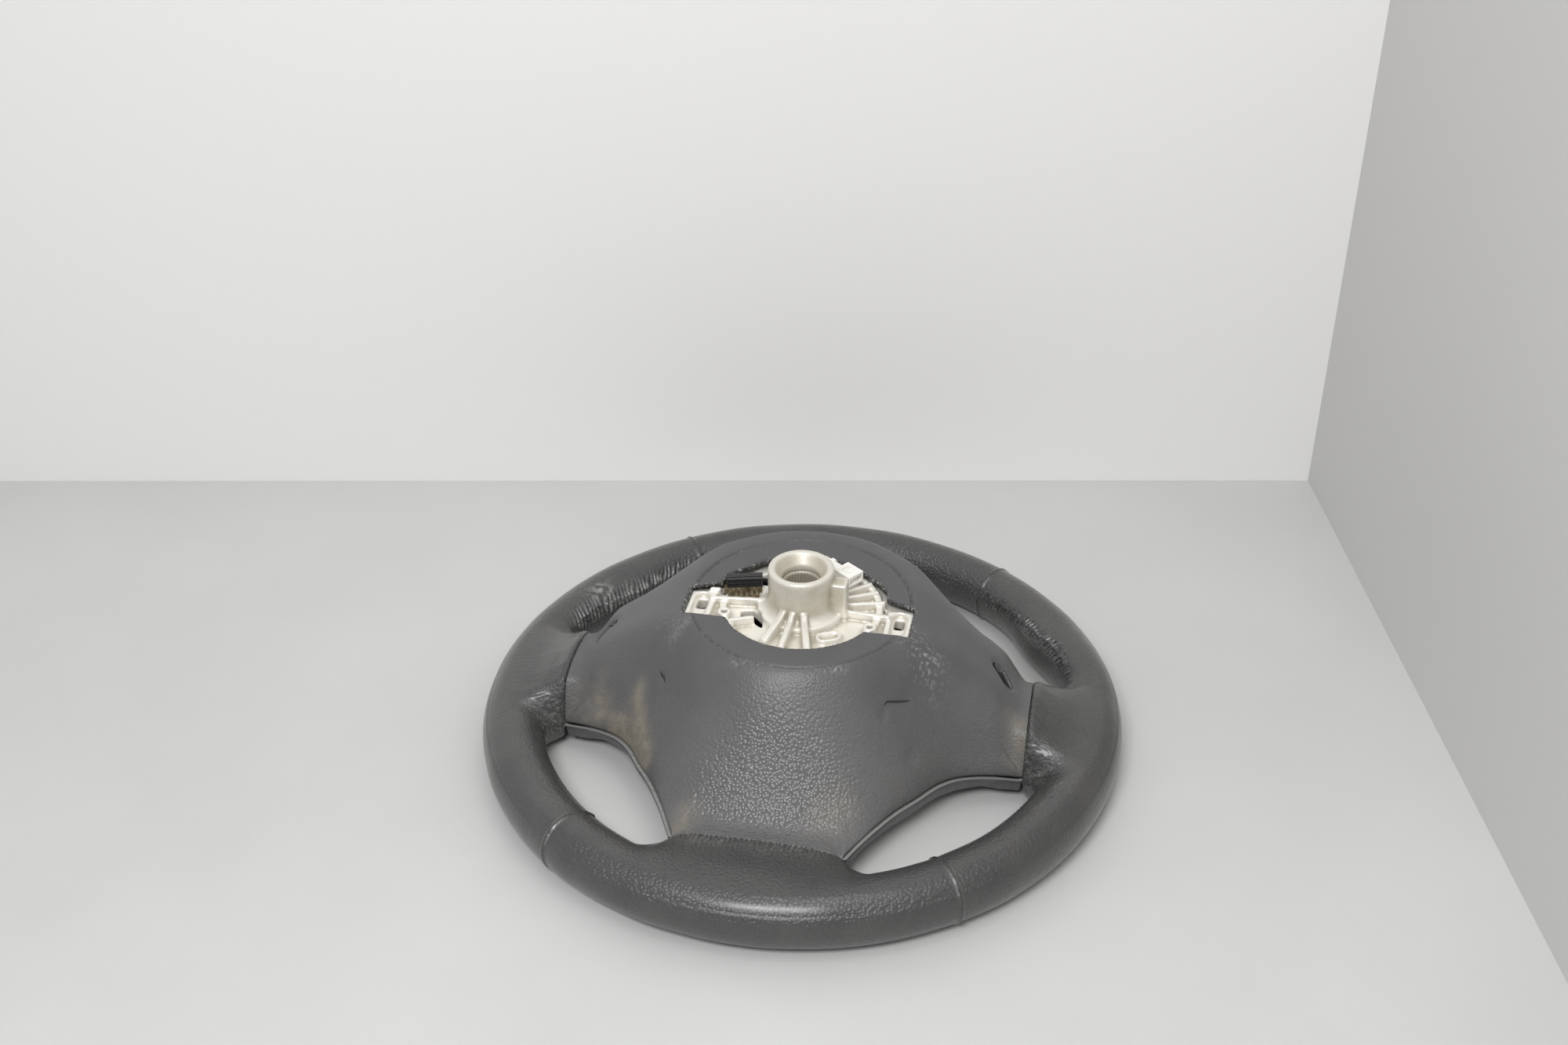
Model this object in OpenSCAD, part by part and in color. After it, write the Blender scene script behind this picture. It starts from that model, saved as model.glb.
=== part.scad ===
/* [Rim] */
// Outer diameter over the leather
rim_d = 376; // [366:1:386]
// Height of the rim section, from the driver's face to the column side
rim_h = 35; // [33:0.5:37]
// Half-width of the section outside its centre line
half_out = 15.5; // [14:0.5:17]
// Half-width inside the centre line at 12 o'clock
half_top = 16; // [14:0.5:18]
// Half-width inside the centre line below the side spokes
half_low = 20; // [18:0.5:21]
// How far the thumb rests swell inwards
thumb_out = 7; // [0:0.5:8]
// Angle of the thumb rests above the side spokes
thumb_angle = 34; // [30:1:36]
// Thickness of the leather
leather_t = 1.4; // [1:0.1:1.8]
// Upper leather seams, in degrees from 12 o'clock
seam_top = 35.5; // [33:0.5:38]
// Lower leather seams, in degrees from 12 o'clock
seam_low = 143; // [140:1:146]

/* [Spokes] */
// Distance from the axis to the seam on a side spoke
side_seam = 135; // [133:0.5:137]
// Upper end of that seam, above the axis
side_up = 24.5; // [22:0.5:26]
// Lower end of that seam, below the axis
side_down = 40; // [38:1:42]
// Distance from the axis to the seam on the lower spoke
low_seam = 130; // [128:0.5:132]
// Half the length of the lower seam
low_half = 46; // [44:1:48]
// Height of the driver's face of the spokes
face_z = 8; // [7:0.5:9]

/* [Rear cover] */
// Height of the flat crown of the cover
crown_z = 96; // [94:0.5:98]
// Radius at which the crown starts to fall
crown_r = 64; // [62:1:66]
// Wall of the moulded cover
cover_t = 3; // [2.5:0.1:3.5]
// Radius of the pressed ring on the crown
ring_r = 63; // [60:1:65]
// Radius of the window for the hub
window_r = 46; // [43:0.5:47]
// Half the length of the slot that crosses the window
slot_half = 65.5; // [63:0.5:67]
// Edge of that slot below the axis
slot_low = 23; // [21:0.5:24]
// Edge of that slot above the axis
slot_up = 5; // [3:0.5:6]
// Distance from the axis to the airbag release holes
release_x = 118; // [116:1:120]

/* [Hub] */
// Height of the rear face of the boss
boss_z = 119; // [116:0.5:121]
// Diameter of the boss
boss_d = 38; // [36:0.5:40]
// Mouth of the countersink
mouth_d = 31; // [29:0.5:33]
// Plain pilot bore of the steel bush
pilot_d = 18.8; // [18:0.1:19.2]
// Number of serrations in the bush
teeth = 36; // [24:1:48]
// Height of the floor of the casting's plate
plate_z = 89; // [88:0.5:90]
// Height of the front face of that plate
plate_front = 84; // [82:0.5:85]
// Height of the ribs on the plate
rib_z = 94.5; // [93.5:0.5:95.5]

/* [Airbag well and switches] */
// Radius of the opening for the airbag
well_r = 70; // [68:0.5:72]
// Distance from the axis to the middle of a switch pod
pod_x = 106; // [104:0.5:108]
// Height of the middle of a switch pod above the axis
pod_y = -8; // [-10:0.5:-6]
// Width of a switch pod
pod_w = 46; // [44:1:48]
// Height of a switch pod
pod_h = 36; // [34:1:38]
// Travel of a push button
press = 1; // [0.6:0.1:1.2]

/* [Hidden] */
$fn = 64;
eps = 0.01;

leather_tint = [0.30, 0.30, 0.30];
cover_tint = [0.40, 0.40, 0.40];
trim_tint = [0.16, 0.16, 0.17];
metal_tint = [0.80, 0.78, 0.73];

tube_r = rim_d / 2 - half_out;
mid_z = rim_h / 2;
// Sides of the rim section
sides = 16;

function smooth(a, b, x) = let (t = min(1, max(0, (x - a) / (b - a)))) t * t * (3 - 2 * t);
function bump(x, c, w) = exp(-pow((x - c) / w, 2));
function mix(a, b, t) = a + (b - a) * t;
function steps(a, b, n) = [for (i = [0 : n - 1]) a + (b - a) * i / n];

// Angles run from 12 o'clock towards the right, and fold back to 0 to 180 on the left
function folded(a) = let (turn = (a + 720) % 360) min(turn, 360 - turn);

// Where the webs of the side and lower spokes start and end
side_first = atan2(side_seam, side_up);
side_last = 90 + atan2(side_down, side_seam);
low_first = 180 - atan2(low_half, low_seam);
fillet = 4.5;
function side_web(f) = smooth(side_first - fillet, side_first, f)
    * (1 - smooth(side_last, side_last + fillet, f));
function low_web(f) = smooth(low_first - fillet, low_first, f);

// Height of the rear face along the side seam (by y) and along the lower seam (by x)
function side_top(y) = lookup(y, [
    [-side_down - 1, 17], [-side_down, 19], [-36.5, 34], [-31.5, 44], [-20, 48],
    [-5, 49], [8, 47.5], [16, 44], [side_up - 4, 40], [side_up - 2, 34], [side_up, 23.5], [side_up + 1, 20]]);
// The same, kept under the steep flanks of the web by the inset t
function side_under(y, t) = min(side_top(y - t), side_top(y), side_top(y + t));
function low_top(x) = lookup(x, [[0, 29.5], [30, 28.5], [41, 27], [low_half, 23.5], [low_half + 3, 21]]);

function half_in(f) = mix(half_top, half_low, smooth(70, 112, f))
    + thumb_out * bump(f, 90 - thumb_angle, 10);

// One point of the rim section as [radius, height], t in from 0 to sides, skin is the inset
function tube_point(f, k, t) = let (
    phi = -90 + 360 * k / sides,
    wide = (cos(phi) > 0 ? half_out : half_in(f)) - t
) [tube_r + wide * cos(phi), mid_z + (mid_z - t) * sin(phi)];

// The web towards a spoke: rises from the top of the rim to the seam, drops at the seam, returns below
function web_point(reach, top, k, t) = let (
    in = reach + t,
    up = top - t,
    low = face_z + 1 + t,
    path = [
        [tube_r, rim_h - t],
        [mix(tube_r, in, 0.35), mix(rim_h - t, up, 0.2)],
        [mix(tube_r, in, 0.7), mix(rim_h - t, up, 0.62)],
        [in + 1, up],
        [in, mix(up, low, 0.5)],
        [in + 1, low],
        [mix(tube_r, in, 0.7), mix(t, low, 0.8)],
        [mix(tube_r, in, 0.35), mix(t, low, 0.3)]
    ]
) path[k - sides / 2];

function rim_point(a, k, t) = let (
    f = folded(a),
    side = side_web(f),
    low = low_web(f),
    w = max(side, low),
    reach = low > 0 ? low_seam / abs(cos(f)) : side > 0 ? side_seam / sin(f) : tube_r,
    top = low > 0 ? low_top(low_seam * tan(180 - f)) : side > 0 ? side_under(side_seam / tan(f), t) : rim_h,
    p = tube_point(f, k, t),
    q = (k < sides / 2 || w == 0) ? p : mix(p, web_point(reach, top, k, t), w)
) [q[0] * sin(a), q[0] * cos(a), q[1]];

// Facets between two rings of points, the same on both halves of the wheel
function rim_walls(angles, closed, first) = let (rings = len(angles)) [
    for (i = [0 : closed ? rings - 1 : rings - 2]) for (k = [0 : sides - 1])
        let (n = (i + 1) % rings, m = (k + 1) % sides,
            a = first + i * sides + k, b = first + n * sides + k,
            c = first + n * sides + m, d = first + i * sides + m)
        for (face = angles[i] < 0 || angles[i] >= 180 ? [[a, b, d], [b, c, d]] : [[a, b, c], [a, c, d]]) face];
function rim_points(angles, t) = [for (a = angles) for (k = [0 : sides - 1]) rim_point(a, k, t)];
function turned(faces) = [for (f = faces) [f[0], f[2], f[1]]];

// A solid all round the rim
module rim_ring(angles, t) { polyhedron(rim_points(angles, t), rim_walls(angles, true, 0)); }

// An open sleeve of the given wall along a stretch of the rim
module rim_sleeve(angles, wall) {
    under = len(angles) * sides;
    last = under - sides;
    ends = [for (k = [0 : sides - 1]) let (m = (k + 1) % sides) for (face = [
        [k, m, under + m], [k, under + m, under + k],
        [last + k, last + under + m, last + m], [last + k, last + under + k, last + under + m]]) face];
    polyhedron(
        concat(rim_points(angles, 0), rim_points(angles, wall)),
        concat(rim_walls(angles, false, 0), turned(rim_walls(angles, false, under)), ends));
}

// The stretch of angles of each leather panel, closer together round the webs
top_angles = concat(steps(-seam_top, seam_top, 12), [seam_top]);
side_angles = concat(
    steps(seam_top, 75, 7), steps(75, side_first, 3), steps(side_first, 100, 4),
    steps(100, side_last, 4), steps(side_last, 112, 3), steps(112, seam_low, 5), [seam_low]);
low_angles = concat(
    steps(seam_low, low_first - fillet, 2), steps(low_first - fillet, low_first, 3),
    steps(low_first, 360 - low_first, 8), steps(360 - low_first, 360 - low_first + fillet, 3),
    steps(360 - low_first + fillet, 360 - seam_low, 2), [360 - seam_low]);
function without_last(list) = [for (i = [0 : len(list) - 2]) list[i]];
function mirrored(list) = [for (i = [len(list) - 1 : -1 : 0]) 360 - list[i]];
all_angles = concat(
    without_last(top_angles), without_last(side_angles), without_last(low_angles),
    without_last(mirrored(side_angles)));

module leather(angles) {
    color(leather_tint) difference() {
        rim_sleeve(angles, leather_t);
        arm_passages();
    }
}
// The folded ends of the leather are open where the arms of the casting pass
side_passage = [8, 25, 18];
low_passage = [14, 8, 12];
module arm_passages() {
    for (s = [-1, 1]) {
        translate([s * side_seam, -8, 32]) cube(side_passage, center = true);
        translate([s * low_arm_x, -low_seam, 19]) cube(low_passage, center = true);
    }
}
module leather_top() { leather(top_angles); }
module leather_right() { leather(side_angles); }
module leather_left() { mirror([1, 0, 0]) leather_right(); }
module leather_bottom() { leather(low_angles); }

module rim_foam() { color([0.22, 0.22, 0.23]) rim_ring(all_angles, leather_t); }

// Outline of the spider as [x, y, edge height], from 12 o'clock down the right side, clear of the seams
seam_gap = 0.4;
upper_edge = [
    [0, 84, 24], [31, 79, 24], [60, 61, 24], [80, 47, 24], [100, 36.5, 24], [118, 29.5, 24],
    [side_seam - seam_gap, side_up, 23]];
opening_edge = [
    [side_seam - seam_gap, -side_down, 18.5], [120, -44, 21], [107, -49, 23], [97, -55, 24.5], [88, -64, 25.5],
    [79, -77, 26], [69, -90, 26], [59, -106, 25.5], [52, -119, 25], [low_half + 0.5, -low_seam + seam_gap, 24]];

// A smooth curve through control points, n steps to a span
function spline(c, i, t) = let (
    a = c[max(0, i - 1)], b = c[i], d = c[i + 1], e = c[min(len(c) - 1, i + 2)]
) 0.5 * (2 * b + (d - a) * t + (2 * a - 5 * b + 4 * d - e) * t * t + (3 * b - a - 3 * d + e) * t * t * t);
function splined(c, n) = [for (i = [0 : len(c) - 2]) for (j = [0 : n - 1]) spline(c, i, j / n)];

side_edge = [for (y = [side_up, side_up - 2, side_up - 4, 16, 6, -6, -18, -28, -33, -37])
    [side_seam - seam_gap, y, side_top(y) - 0.3]];
low_edge = [for (x = [low_half + 0.5, 40, 30, 18, 6]) [x, -low_seam + seam_gap, low_top(x) - 0.3]];
half_outline = concat(splined(upper_edge, 2), side_edge, splined(opening_edge, 1), low_edge);
outline = concat(half_outline, [for (i = [len(half_outline) - 1 : -1 : 1])
    [-half_outline[i][0], half_outline[i][1], half_outline[i][2]]]);

// Form of the cover: a bell, drawn out into a ridge over each side spoke, with an upright far wall
function bell(r) = let (s = min(1, max(0, (r - crown_r) / (low_seam - crown_r))))
    28 + (crown_z - 28) * pow(1 - pow(s, 1.4), 2.15);
function ridge(x) = let (s = min(1, max(0, (abs(x) - crown_r) / (side_seam - crown_r))))
    49 + (crown_z - 49) * (1 - pow(s, 1.2));
function ridge_share(y) = exp(-pow((y + 6) / (y > -6 ? 48 : 30), 4));
function far_wall(s) = 24 + (crown_z - 24) * sqrt(max(0, 1 - pow(s, 6)));
function form(x, y, s) = let (
    r = norm([x, y]),
    low = mix(bell(r), max(bell(r), ridge(x)), ridge_share(y)),
    far = 1 - smooth(46, 80, atan2(abs(x), y))
) mix(low, far_wall(s), far);

// Steps from the crown (0) to the edge (1), closer together where the cover rolls over its edge
falls = [0, 0.07, 0.15, 0.25, 0.37, 0.5, 0.63, 0.75, 0.85, 0.92, 0.97, 1];
function cover_at(o, s) = let (
    r = norm([o[0], o[1]]),
    k = mix(crown_r, r, s) / r
) [k * r, o[2] + (form(k * o[0], k * o[1], s) - o[2]) * pow(max(0, 1 - pow(s, 8)), 0.6)];
function cover_normal(o, s) = let (
    a = cover_at(o, max(0, s - 0.02)), b = cover_at(o, min(1, s + 0.02)), d = b - a
) [-d[1], d[0]] / norm(d);
function cover_point(o, s, t) = let (
    r = norm([o[0], o[1]]), p = cover_at(o, s) - t * cover_normal(o, s)
) [p[0] * o[0] / r, p[0] * o[1] / r, p[1]];
// The first ring lies inside the window, where the shell is cut away
hole_r = 20;
function cover_ring(o, t) = let (r = norm([o[0], o[1]])) concat(
    [[hole_r * o[0] / r, hole_r * o[1] / r, crown_z - t]],
    [for (s = falls) cover_point(o, s, t)]);

module cover_shell() {
    rays = len(outline);
    rings = len(falls) + 1;
    under = rays * rings;
    points = concat(
        [for (o = outline) for (p = cover_ring(o, 0)) p],
        [for (o = outline) for (p = cover_ring(o, cover_t)) p]);
    faces = [for (i = [0 : rays - 1]) let (n = (i + 1) % rays) for (face = concat(
        [for (j = [0 : rings - 2]) let (a = i * rings + j, b = n * rings + j)
            for (face = [[a, a + 1, b + 1], [a, b + 1, b],
                [under + a, under + b + 1, under + a + 1], [under + a, under + b, under + b + 1]]) face],
        [let (a = i * rings + rings - 1, b = n * rings + rings - 1)
            for (face = [[a, under + a, under + b], [a, under + b, b]]) face],
        [let (a = i * rings, b = n * rings)
            for (face = [[a, under + b, under + a], [a, b, under + b]]) face])) face];
    polyhedron(points, faces);
}

// Window for the hub: a round, a slot across it and the chamfered corners between them
slot_w = slot_up + slot_low;
slot_corner = 2.5;
window_corners = [[38, 28], [42.5, 23.5], [47, 17], [48, 10.5], [52, 8.5], [62, slot_up], [38, slot_up]];
module window(h) {
    cylinder(r = window_r, h = h);
    translate([0, (slot_up - slot_low) / 2, 0]) slab([2 * slot_half, slot_w], slot_corner, h);
    for (s = [-1, 1]) linear_extrude(h) polygon([for (p = window_corners) [s * p[0], p[1]]]);
}

// Posts moulded under the cover, which take the upper bezel screws
post_at = [96, 24];
post_r = 3.6;
post_h = 48;
thread_r = 1.3;
// Airbag release holes, a slanting oval over each side spoke
release_y = -1;
release_r = 3.5;
release_half = 3;
release_turn = 40;
groove_r = 0.7;

module rear_cover() {
    color(cover_tint) difference() {
        union() {
            cover_shell();
            for (s = [-1, 1]) translate([s * post_at[0], post_at[1], bezel_top])
                cylinder(r = post_r, h = post_h);
        }
        for (s = [-1, 1]) translate([s * post_at[0], post_at[1], bezel_top - 1]) cylinder(r = thread_r, h = 14);
        translate([0, 0, crown_z - cover_t - 3]) window(cover_t + 6);
        translate([0, 0, crown_z]) rotate_extrude() translate([ring_r, 0]) circle(r = groove_r, $fn = 16);
        for (s = [-1, 1]) translate([s * release_x, release_y, 35]) rotate([0, 0, -s * release_turn]) {
            for (e = [-1, 1]) translate([e * release_half, 0, 0]) cylinder(r = release_r, h = 40);
            translate([-release_half, -release_r, 0]) cube([2 * release_half, 2 * release_r, 40]);
        }
    }
}

// Front bezel: a moulded tray whose wall stands a little proud of the cover and rolls into the face
bezel_top = 21;
bezel_wall = 2.4;
floor_z = face_z + bezel_wall;
well_wall = 2;
well_deep = 20;
half_lip = concat(splined(upper_edge, 2), [[side_seam - seam_gap, side_up, 23]], splined(opening_edge, 1),
    [[low_half + 0.5, -low_seam + seam_gap, 24]]);
lip = concat(half_lip, [for (i = [len(half_lip) - 1 : -1 : 1]) let (p = half_lip[i]) [-p[0], p[1], p[2]]]);
function side_of(a, b) = [a[1] - b[1], b[0] - a[0]] / norm([b[0] - a[0], b[1] - a[1]]);
// The lip moved outwards by g, with true corners, and kept inside the seams
function grown(g) = let (n = len(lip)) [for (i = [0 : n - 1]) let (
    u = side_of(lip[(i + n - 1) % n], lip[i]), v = side_of(lip[i], lip[(i + 1) % n]),
    p = [lip[i][0], lip[i][1]] + g * (u + v) / (1 + u * v)
) [max(-side_seam + seam_gap, min(side_seam - seam_gap, p[0])), max(-low_seam + seam_gap, p[1])]];
// Levels are [height, growth] pairs, from the face upwards, kept the given gap below the cover's edge
module tray(levels, gap) {
    n = len(lip);
    points = [for (l = levels) let (around = grown(l[1])) for (i = [0 : n - 1])
        [around[i][0], around[i][1], min(l[0], lip[i][2] - gap)]];
    walls = [for (j = [0 : len(levels) - 2]) for (i = [0 : n - 1]) let (a = j * n + i, b = j * n + (i + 1) % n)
        for (face = [[a, b, b + n], [a, b + n, a + n]]) face];
    last = len(levels) - 1;
    // Both ends close on a middle point, so that the well cuts every facet cleanly
    ends = [for (i = [0 : n - 1]) let (m = (i + 1) % n)
        for (face = [[m, i, n * (last + 1)], [last * n + i, last * n + m, n * (last + 1) + 1]]) face];
    polyhedron(concat(points, [[0, 0, levels[0][0]], [0, 0, min(levels[last][0], 40)]]), concat(walls, ends));
}

// Outer and inner faces of the tray, as levels
tray_out = [[face_z, -6], [face_z + 1.2, -3], [face_z + 3.5, 0], [face_z + 6.5, 1.5], [bezel_top, 1.5]];
tray_in = [[floor_z, -7], [floor_z + 1.2, -5.2], [face_z + 5, -1.8], [face_z + 7, -0.9], [bezel_top + 1, -0.9]];
module front_bezel() {
    color(trim_tint) difference() {
        union() {
            difference() {
                tray(tray_out, 1.6);
                tray(tray_in, -1);
            }
            translate([0, 0, face_z]) cylinder(r = well_r + well_wall, h = well_deep);
            bezel_posts() cylinder(r = post_r, h = arm_boss_z - floor_z);
            for (s = [-1, 1]) translate([s * post_at[0], post_at[1], floor_z])
                cylinder(r = post_r, h = bezel_top - floor_z);
            pod_posts() cylinder(r = tab_r, h = tab_rise);
        }
        translate([0, 0, face_z - 1]) cylinder(r = well_r, h = 2 * well_deep);
        for (s = [-1, 1]) translate([s * low_arm_x - arm_notch / 2, -low_seam - 5, arm_boss_z - 5])
            cube([arm_notch, arm_notch, 20]);
        for (s = [-1, 1]) translate([s * pod_x, pod_y, face_z - 1]) pod_block(pod_gap, 6);
        bezel_posts() translate([0, 0, -4]) {
            cylinder(r = screw_r, h = 20);
            cylinder(r = head_r, h = 4.5);
        }
        pod_posts() cylinder(r = screw_r, h = 5);
    }
}

// Places of the four bezel screws and the four pod screws
low_arm_x = 24;
arm_screw = [low_arm_x, -112];
arm_boss_z = 18;
arm_notch = 14;
pod_gap = 0.3;
tab_at = [15, 21];
tab_r = 3;
tab_rise = 4;
module bezel_posts() {
    for (s = [-1, 1]) {
        translate([s * post_at[0], post_at[1], floor_z]) children();
        translate([s * arm_screw[0], arm_screw[1], floor_z]) children();
    }
}
module pod_posts() {
    for (s = [-1, 1]) for (x = [-1, 1]) for (y = [-1, 1])
        if (x != y) translate([s * (pod_x + x * tab_at[0]), pod_y + y * tab_at[1], floor_z]) children();
}
screw_r = 1.3;
head_r = 2.6;
module bezel_screws() {
    color([0.25, 0.25, 0.26]) bezel_posts() {
        translate([0, 0, -1.7]) cylinder(r = screw_r, h = 17.5);
        difference() {
            translate([0, 0, -1.5]) cylinder(r1 = head_r, r2 = head_r - 0.4, h = 2);
            translate([0, 0, -1.8]) cylinder(r = 1.2, h = 1.3, $fn = 6);
        }
    }
}
module pod_screws() {
    color([0.25, 0.25, 0.26]) pod_posts() {
        cylinder(r = screw_r, h = 7);
        translate([0, 0, 6]) cylinder(r = head_r, h = 1.6);
    }
}

// A rounded block in the pod's plan
pod_corner = 6;
module pod_block(grow, h) {
    for (x = [-1, 1]) for (y = [-1, 1])
        translate([x * (pod_w / 2 - pod_corner), y * (pod_h / 2 - pod_corner), 0])
            cylinder(r = pod_corner + grow, h = h);
    translate([0, 0, h / 2]) cube([pod_w + 2 * grow, pod_h - 2 * pod_corner, h], center = true);
    translate([0, 0, h / 2]) cube([pod_w - 2 * pod_corner, pod_h + 2 * grow, h], center = true);
}

// Layout of a pod, u outwards from the axis and v upwards
pod_face = face_z - 0.8;
pod_back = 19;
rocker_u = -12;
button_u = 10;
button_v = 8.5;
rocker_size = [16, 28];
button_size = [16, 12];
pivot_z = 12.5;
pin_r = 1.2;
board_z = 15;
pod_wall = 1.8;
rail_u = 9.5;
key_gap = 0.8;
tip_gap = 1.5;
tab_t = 2;
module slab(size, r, h) {
    linear_extrude(h) square([size[0] - 2 * r, size[1]], center = true);
    linear_extrude(h) square([size[0], size[1] - 2 * r], center = true);
    for (x = [-1, 1]) for (y = [-1, 1])
        translate([x * (size[0] / 2 - r), y * (size[1] / 2 - r), 0]) cylinder(r = r, h = h);
}
module pod() {
    difference() {
        union() {
            difference() {
                translate([0, 0, pod_face]) pod_block(0, pod_back - pod_face);
                translate([0, 0, pod_face + pod_wall]) pod_block(-pod_wall, pod_back);
            }
            // Two rails that hold the rocker's pins, and the two screw tabs
            for (e = [-1, 1]) translate([rocker_u + e * rail_u - pod_wall / 2, -4, pod_face + 1])
                cube([pod_wall, 8, pivot_z + 2.2 - pod_face - 1]);
            for (e = [-1, 1]) translate([e * tab_at[0], -e * tab_at[1], floor_z + tab_rise]) {
                cylinder(r = tab_r, h = tab_t);
                translate([-tab_r, e > 0 ? 0 : -4, 0]) cube([2 * tab_r, 4, tab_t]);
            }
        }
        translate([rocker_u, 0, pod_face - 1]) slab(rocker_size + [key_gap, tip_gap], 2.4, 3);
        for (e = [-1, 1]) translate([button_u, e * button_v, pod_face - 1])
            slab(button_size + [key_gap, key_gap], 2.4, 3);
        translate([rocker_u - 11, 0, pivot_z]) rotate([0, 90, 0]) cylinder(r = pin_r + 0.05, h = 22);
        for (e = [-1, 1]) translate([e * tab_at[0], -e * tab_at[1], floor_z + 3]) cylinder(r = screw_r, h = 5);
    }
}
module rocker() {
    translate([rocker_u, 0, pod_face - 1.4]) difference() {
        slab(rocker_size, 2, 6.5);
        for (e = [-1, 1]) translate([0, e * 18, -17]) rotate([0, 90, 0])
            cylinder(r = 18, h = 30, center = true);
        translate([0, 0, 2]) slab(rocker_size - [3, 3], 1.2, 6);
    }
    translate([rocker_u - 9.9, 0, pivot_z]) rotate([0, 90, 0]) cylinder(r = pin_r, h = 19.8);
    translate([rocker_u - 8, -2, pod_face + 3]) cube([16, 4, pivot_z + 1 - pod_face - 3]);
}
module button(v) {
    translate([button_u, v, pod_face - press - 0.4]) {
        slab(button_size, 2, 4);
        translate([0, 0, 3.5]) slab(button_size + [2.2, 2.2], 2, 1);
        translate([0, 0, 4]) cylinder(r = 3, h = 3);
    }
}
module at_pod(s) { translate([s * pod_x, pod_y, 0]) mirror([s < 0 ? 1 : 0, 0, 0]) children(); }
module board() {
    translate([0, 0, board_z]) pod_block(-pod_wall, 1.6);
    translate([-6, -5, board_z + 1.5]) cube([12, 10, 5]);
}
module switch_pod_right() { color(trim_tint) at_pod(1) pod(); }
module switch_pod_left() { color(trim_tint) at_pod(-1) pod(); }
module switch_board_right() { color([0.10, 0.32, 0.20]) at_pod(1) board(); }
module switch_board_left() { color([0.10, 0.32, 0.20]) at_pod(-1) board(); }
module volume_rocker() { color(leather_tint) at_pod(-1) rocker(); }
module phone_button() { color(leather_tint) at_pod(-1) button(button_v); }
module voice_button() { color(leather_tint) at_pod(-1) button(-button_v); }
module track_rocker() { color(leather_tint) at_pod(1) rocker(); }
module mode_button() { color(leather_tint) at_pod(1) button(button_v); }
module menu_button() { color(leather_tint) at_pod(1) button(-button_v); }

// Casting: profiles of the arms, as [distance from the axis, height] along their middles
bush_r = 13;
bush_top = 109;
bush_low = plate_front - 3;
collar_r = boss_d / 2;
module arm(path, thick, width) {
    n = len(path);
    lift = function (i) let (a = path[max(0, i - 1)], b = path[min(n - 1, i + 1)], d = b - a)
        thick / 2 * [-d[1], d[0]] / norm(d);
    rotate([90, 0, 0]) linear_extrude(width, center = true)
        polygon(concat(
            [for (i = [0 : n - 1]) path[i] + lift(i)],
            [for (i = [n - 1 : -1 : 0]) path[i] - lift(i)]));
}
// A U section: a web plate with a flange along each edge
module channel(path, width, deep) {
    arm(path, 4, width);
    for (e = [-1, 1]) translate([0, e * (width / 2 - 1.5), 0]) arm(path, deep, 3);
}
side_path = [[56, 87.5], [66, 85], [78, 77], [92, 64], [108, 50], [124, 39], [140, 29], [154, 21], [170, 17.5]];
low_path = [
    [36, 87.5], [54, 84.5], [65, 76], [75, 62], [86, 46],
    [98, 31.5], [111, 23], [126, 18.5], [142, 17.5], [170, 17.5]];
// Holes that guide the airbag, slots for its hooks and the wires that hold them
guide_at = [42, -15];
guide_r = 1.9;
hook_x = 57.5;
wire_z = 81.5;
wire_x = 61.8;
wire_r = 1;
wire_lugs = [-17, 4];
pocket_at = [20.5, -26];
// Fins under the boss, as [angle, reach, width, height at the outer end]
fins = [[-112, 40, 4, 93.5], [-95, 45, 3.5, 94], [-75, 42, 4, 94]];
ribs = [
    [[22, 15], [37, 27]], [[22, 9], [42, 19]], [[24, 3], [47.5, 9.5]], [[24, -3], [52, -4.5]],
    [[-20, 9], [-55, 5]], [[-20, 0], [-53, -3.5]], [[-24, -18], [-38, -24]]];
module fin(a, reach, w, h) {
    rotate([0, 0, a]) rotate([90, 0, 0]) linear_extrude(w, center = true)
        polygon([
            [17, plate_z - 1], [17, 102], [24, 97.5],
            [reach - 4, h], [reach, h - 1.5], [reach, plate_z - 1]]);
}
module rib(from, to) {
    d = to - from;
    translate([from[0], from[1], plate_z - 1]) rotate([0, 0, atan2(d[1], d[0])]) translate([0, -1.3, 0])
        cube([norm(d), 2.6, rib_z - plate_z + 1]);
}
// Plate with its raised edge, and the bar that carries both side arms
edge_z = 92.4;
plate_r = 47;
edge_w = 4;
bar_low = -21;
bar_w = 25;
bar_half = 66;
hook_block = 15;
hook_ring_y = -1.5;
hook_ring_r = 6.2;
hook_tray_r = 4.4;
hook_slot = [6, 9];
module plate() {
    translate([0, 0, plate_front]) cylinder(r = plate_r, h = plate_z - plate_front);
    difference() {
        translate([0, 0, plate_front]) cylinder(r = plate_r, h = edge_z - plate_front);
        translate([0, 0, plate_z]) cylinder(r = plate_r - edge_w, h = 10);
    }
    translate([-bar_half, bar_low, plate_front]) cube([2 * bar_half, bar_w, plate_z - plate_front]);
    for (s = [-1, 1]) {
        translate([s * hook_x - hook_block / 2, bar_low, plate_front])
            cube([hook_block, bar_w, edge_z - plate_front]);
        translate([s * hook_x, hook_ring_y, plate_z - 1]) cylinder(r = hook_ring_r, h = 4.5);
    }
}
// Boss with a coved foot
cove_r = 6;
module boss() {
    translate([0, 0, plate_front - 2]) cylinder(r = collar_r, h = boss_z - plate_front + 1);
    translate([0, 0, boss_z - 1]) cylinder(r1 = collar_r, r2 = collar_r - 1, h = 1);
    difference() {
        translate([0, 0, plate_z - 1]) cylinder(r = collar_r + cove_r, h = 11);
        translate([0, 0, plate_z + 10]) rotate_extrude() translate([collar_r + cove_r, 0]) circle(r = cove_r);
    }
}
bolt_r = 10.9;
sink_deep = 6.5;
gusset = [13, 10, 24.5];
pocket = [11.5, 5.5];
pocket_turn = 25;
ring_core_r = 6;
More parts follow.
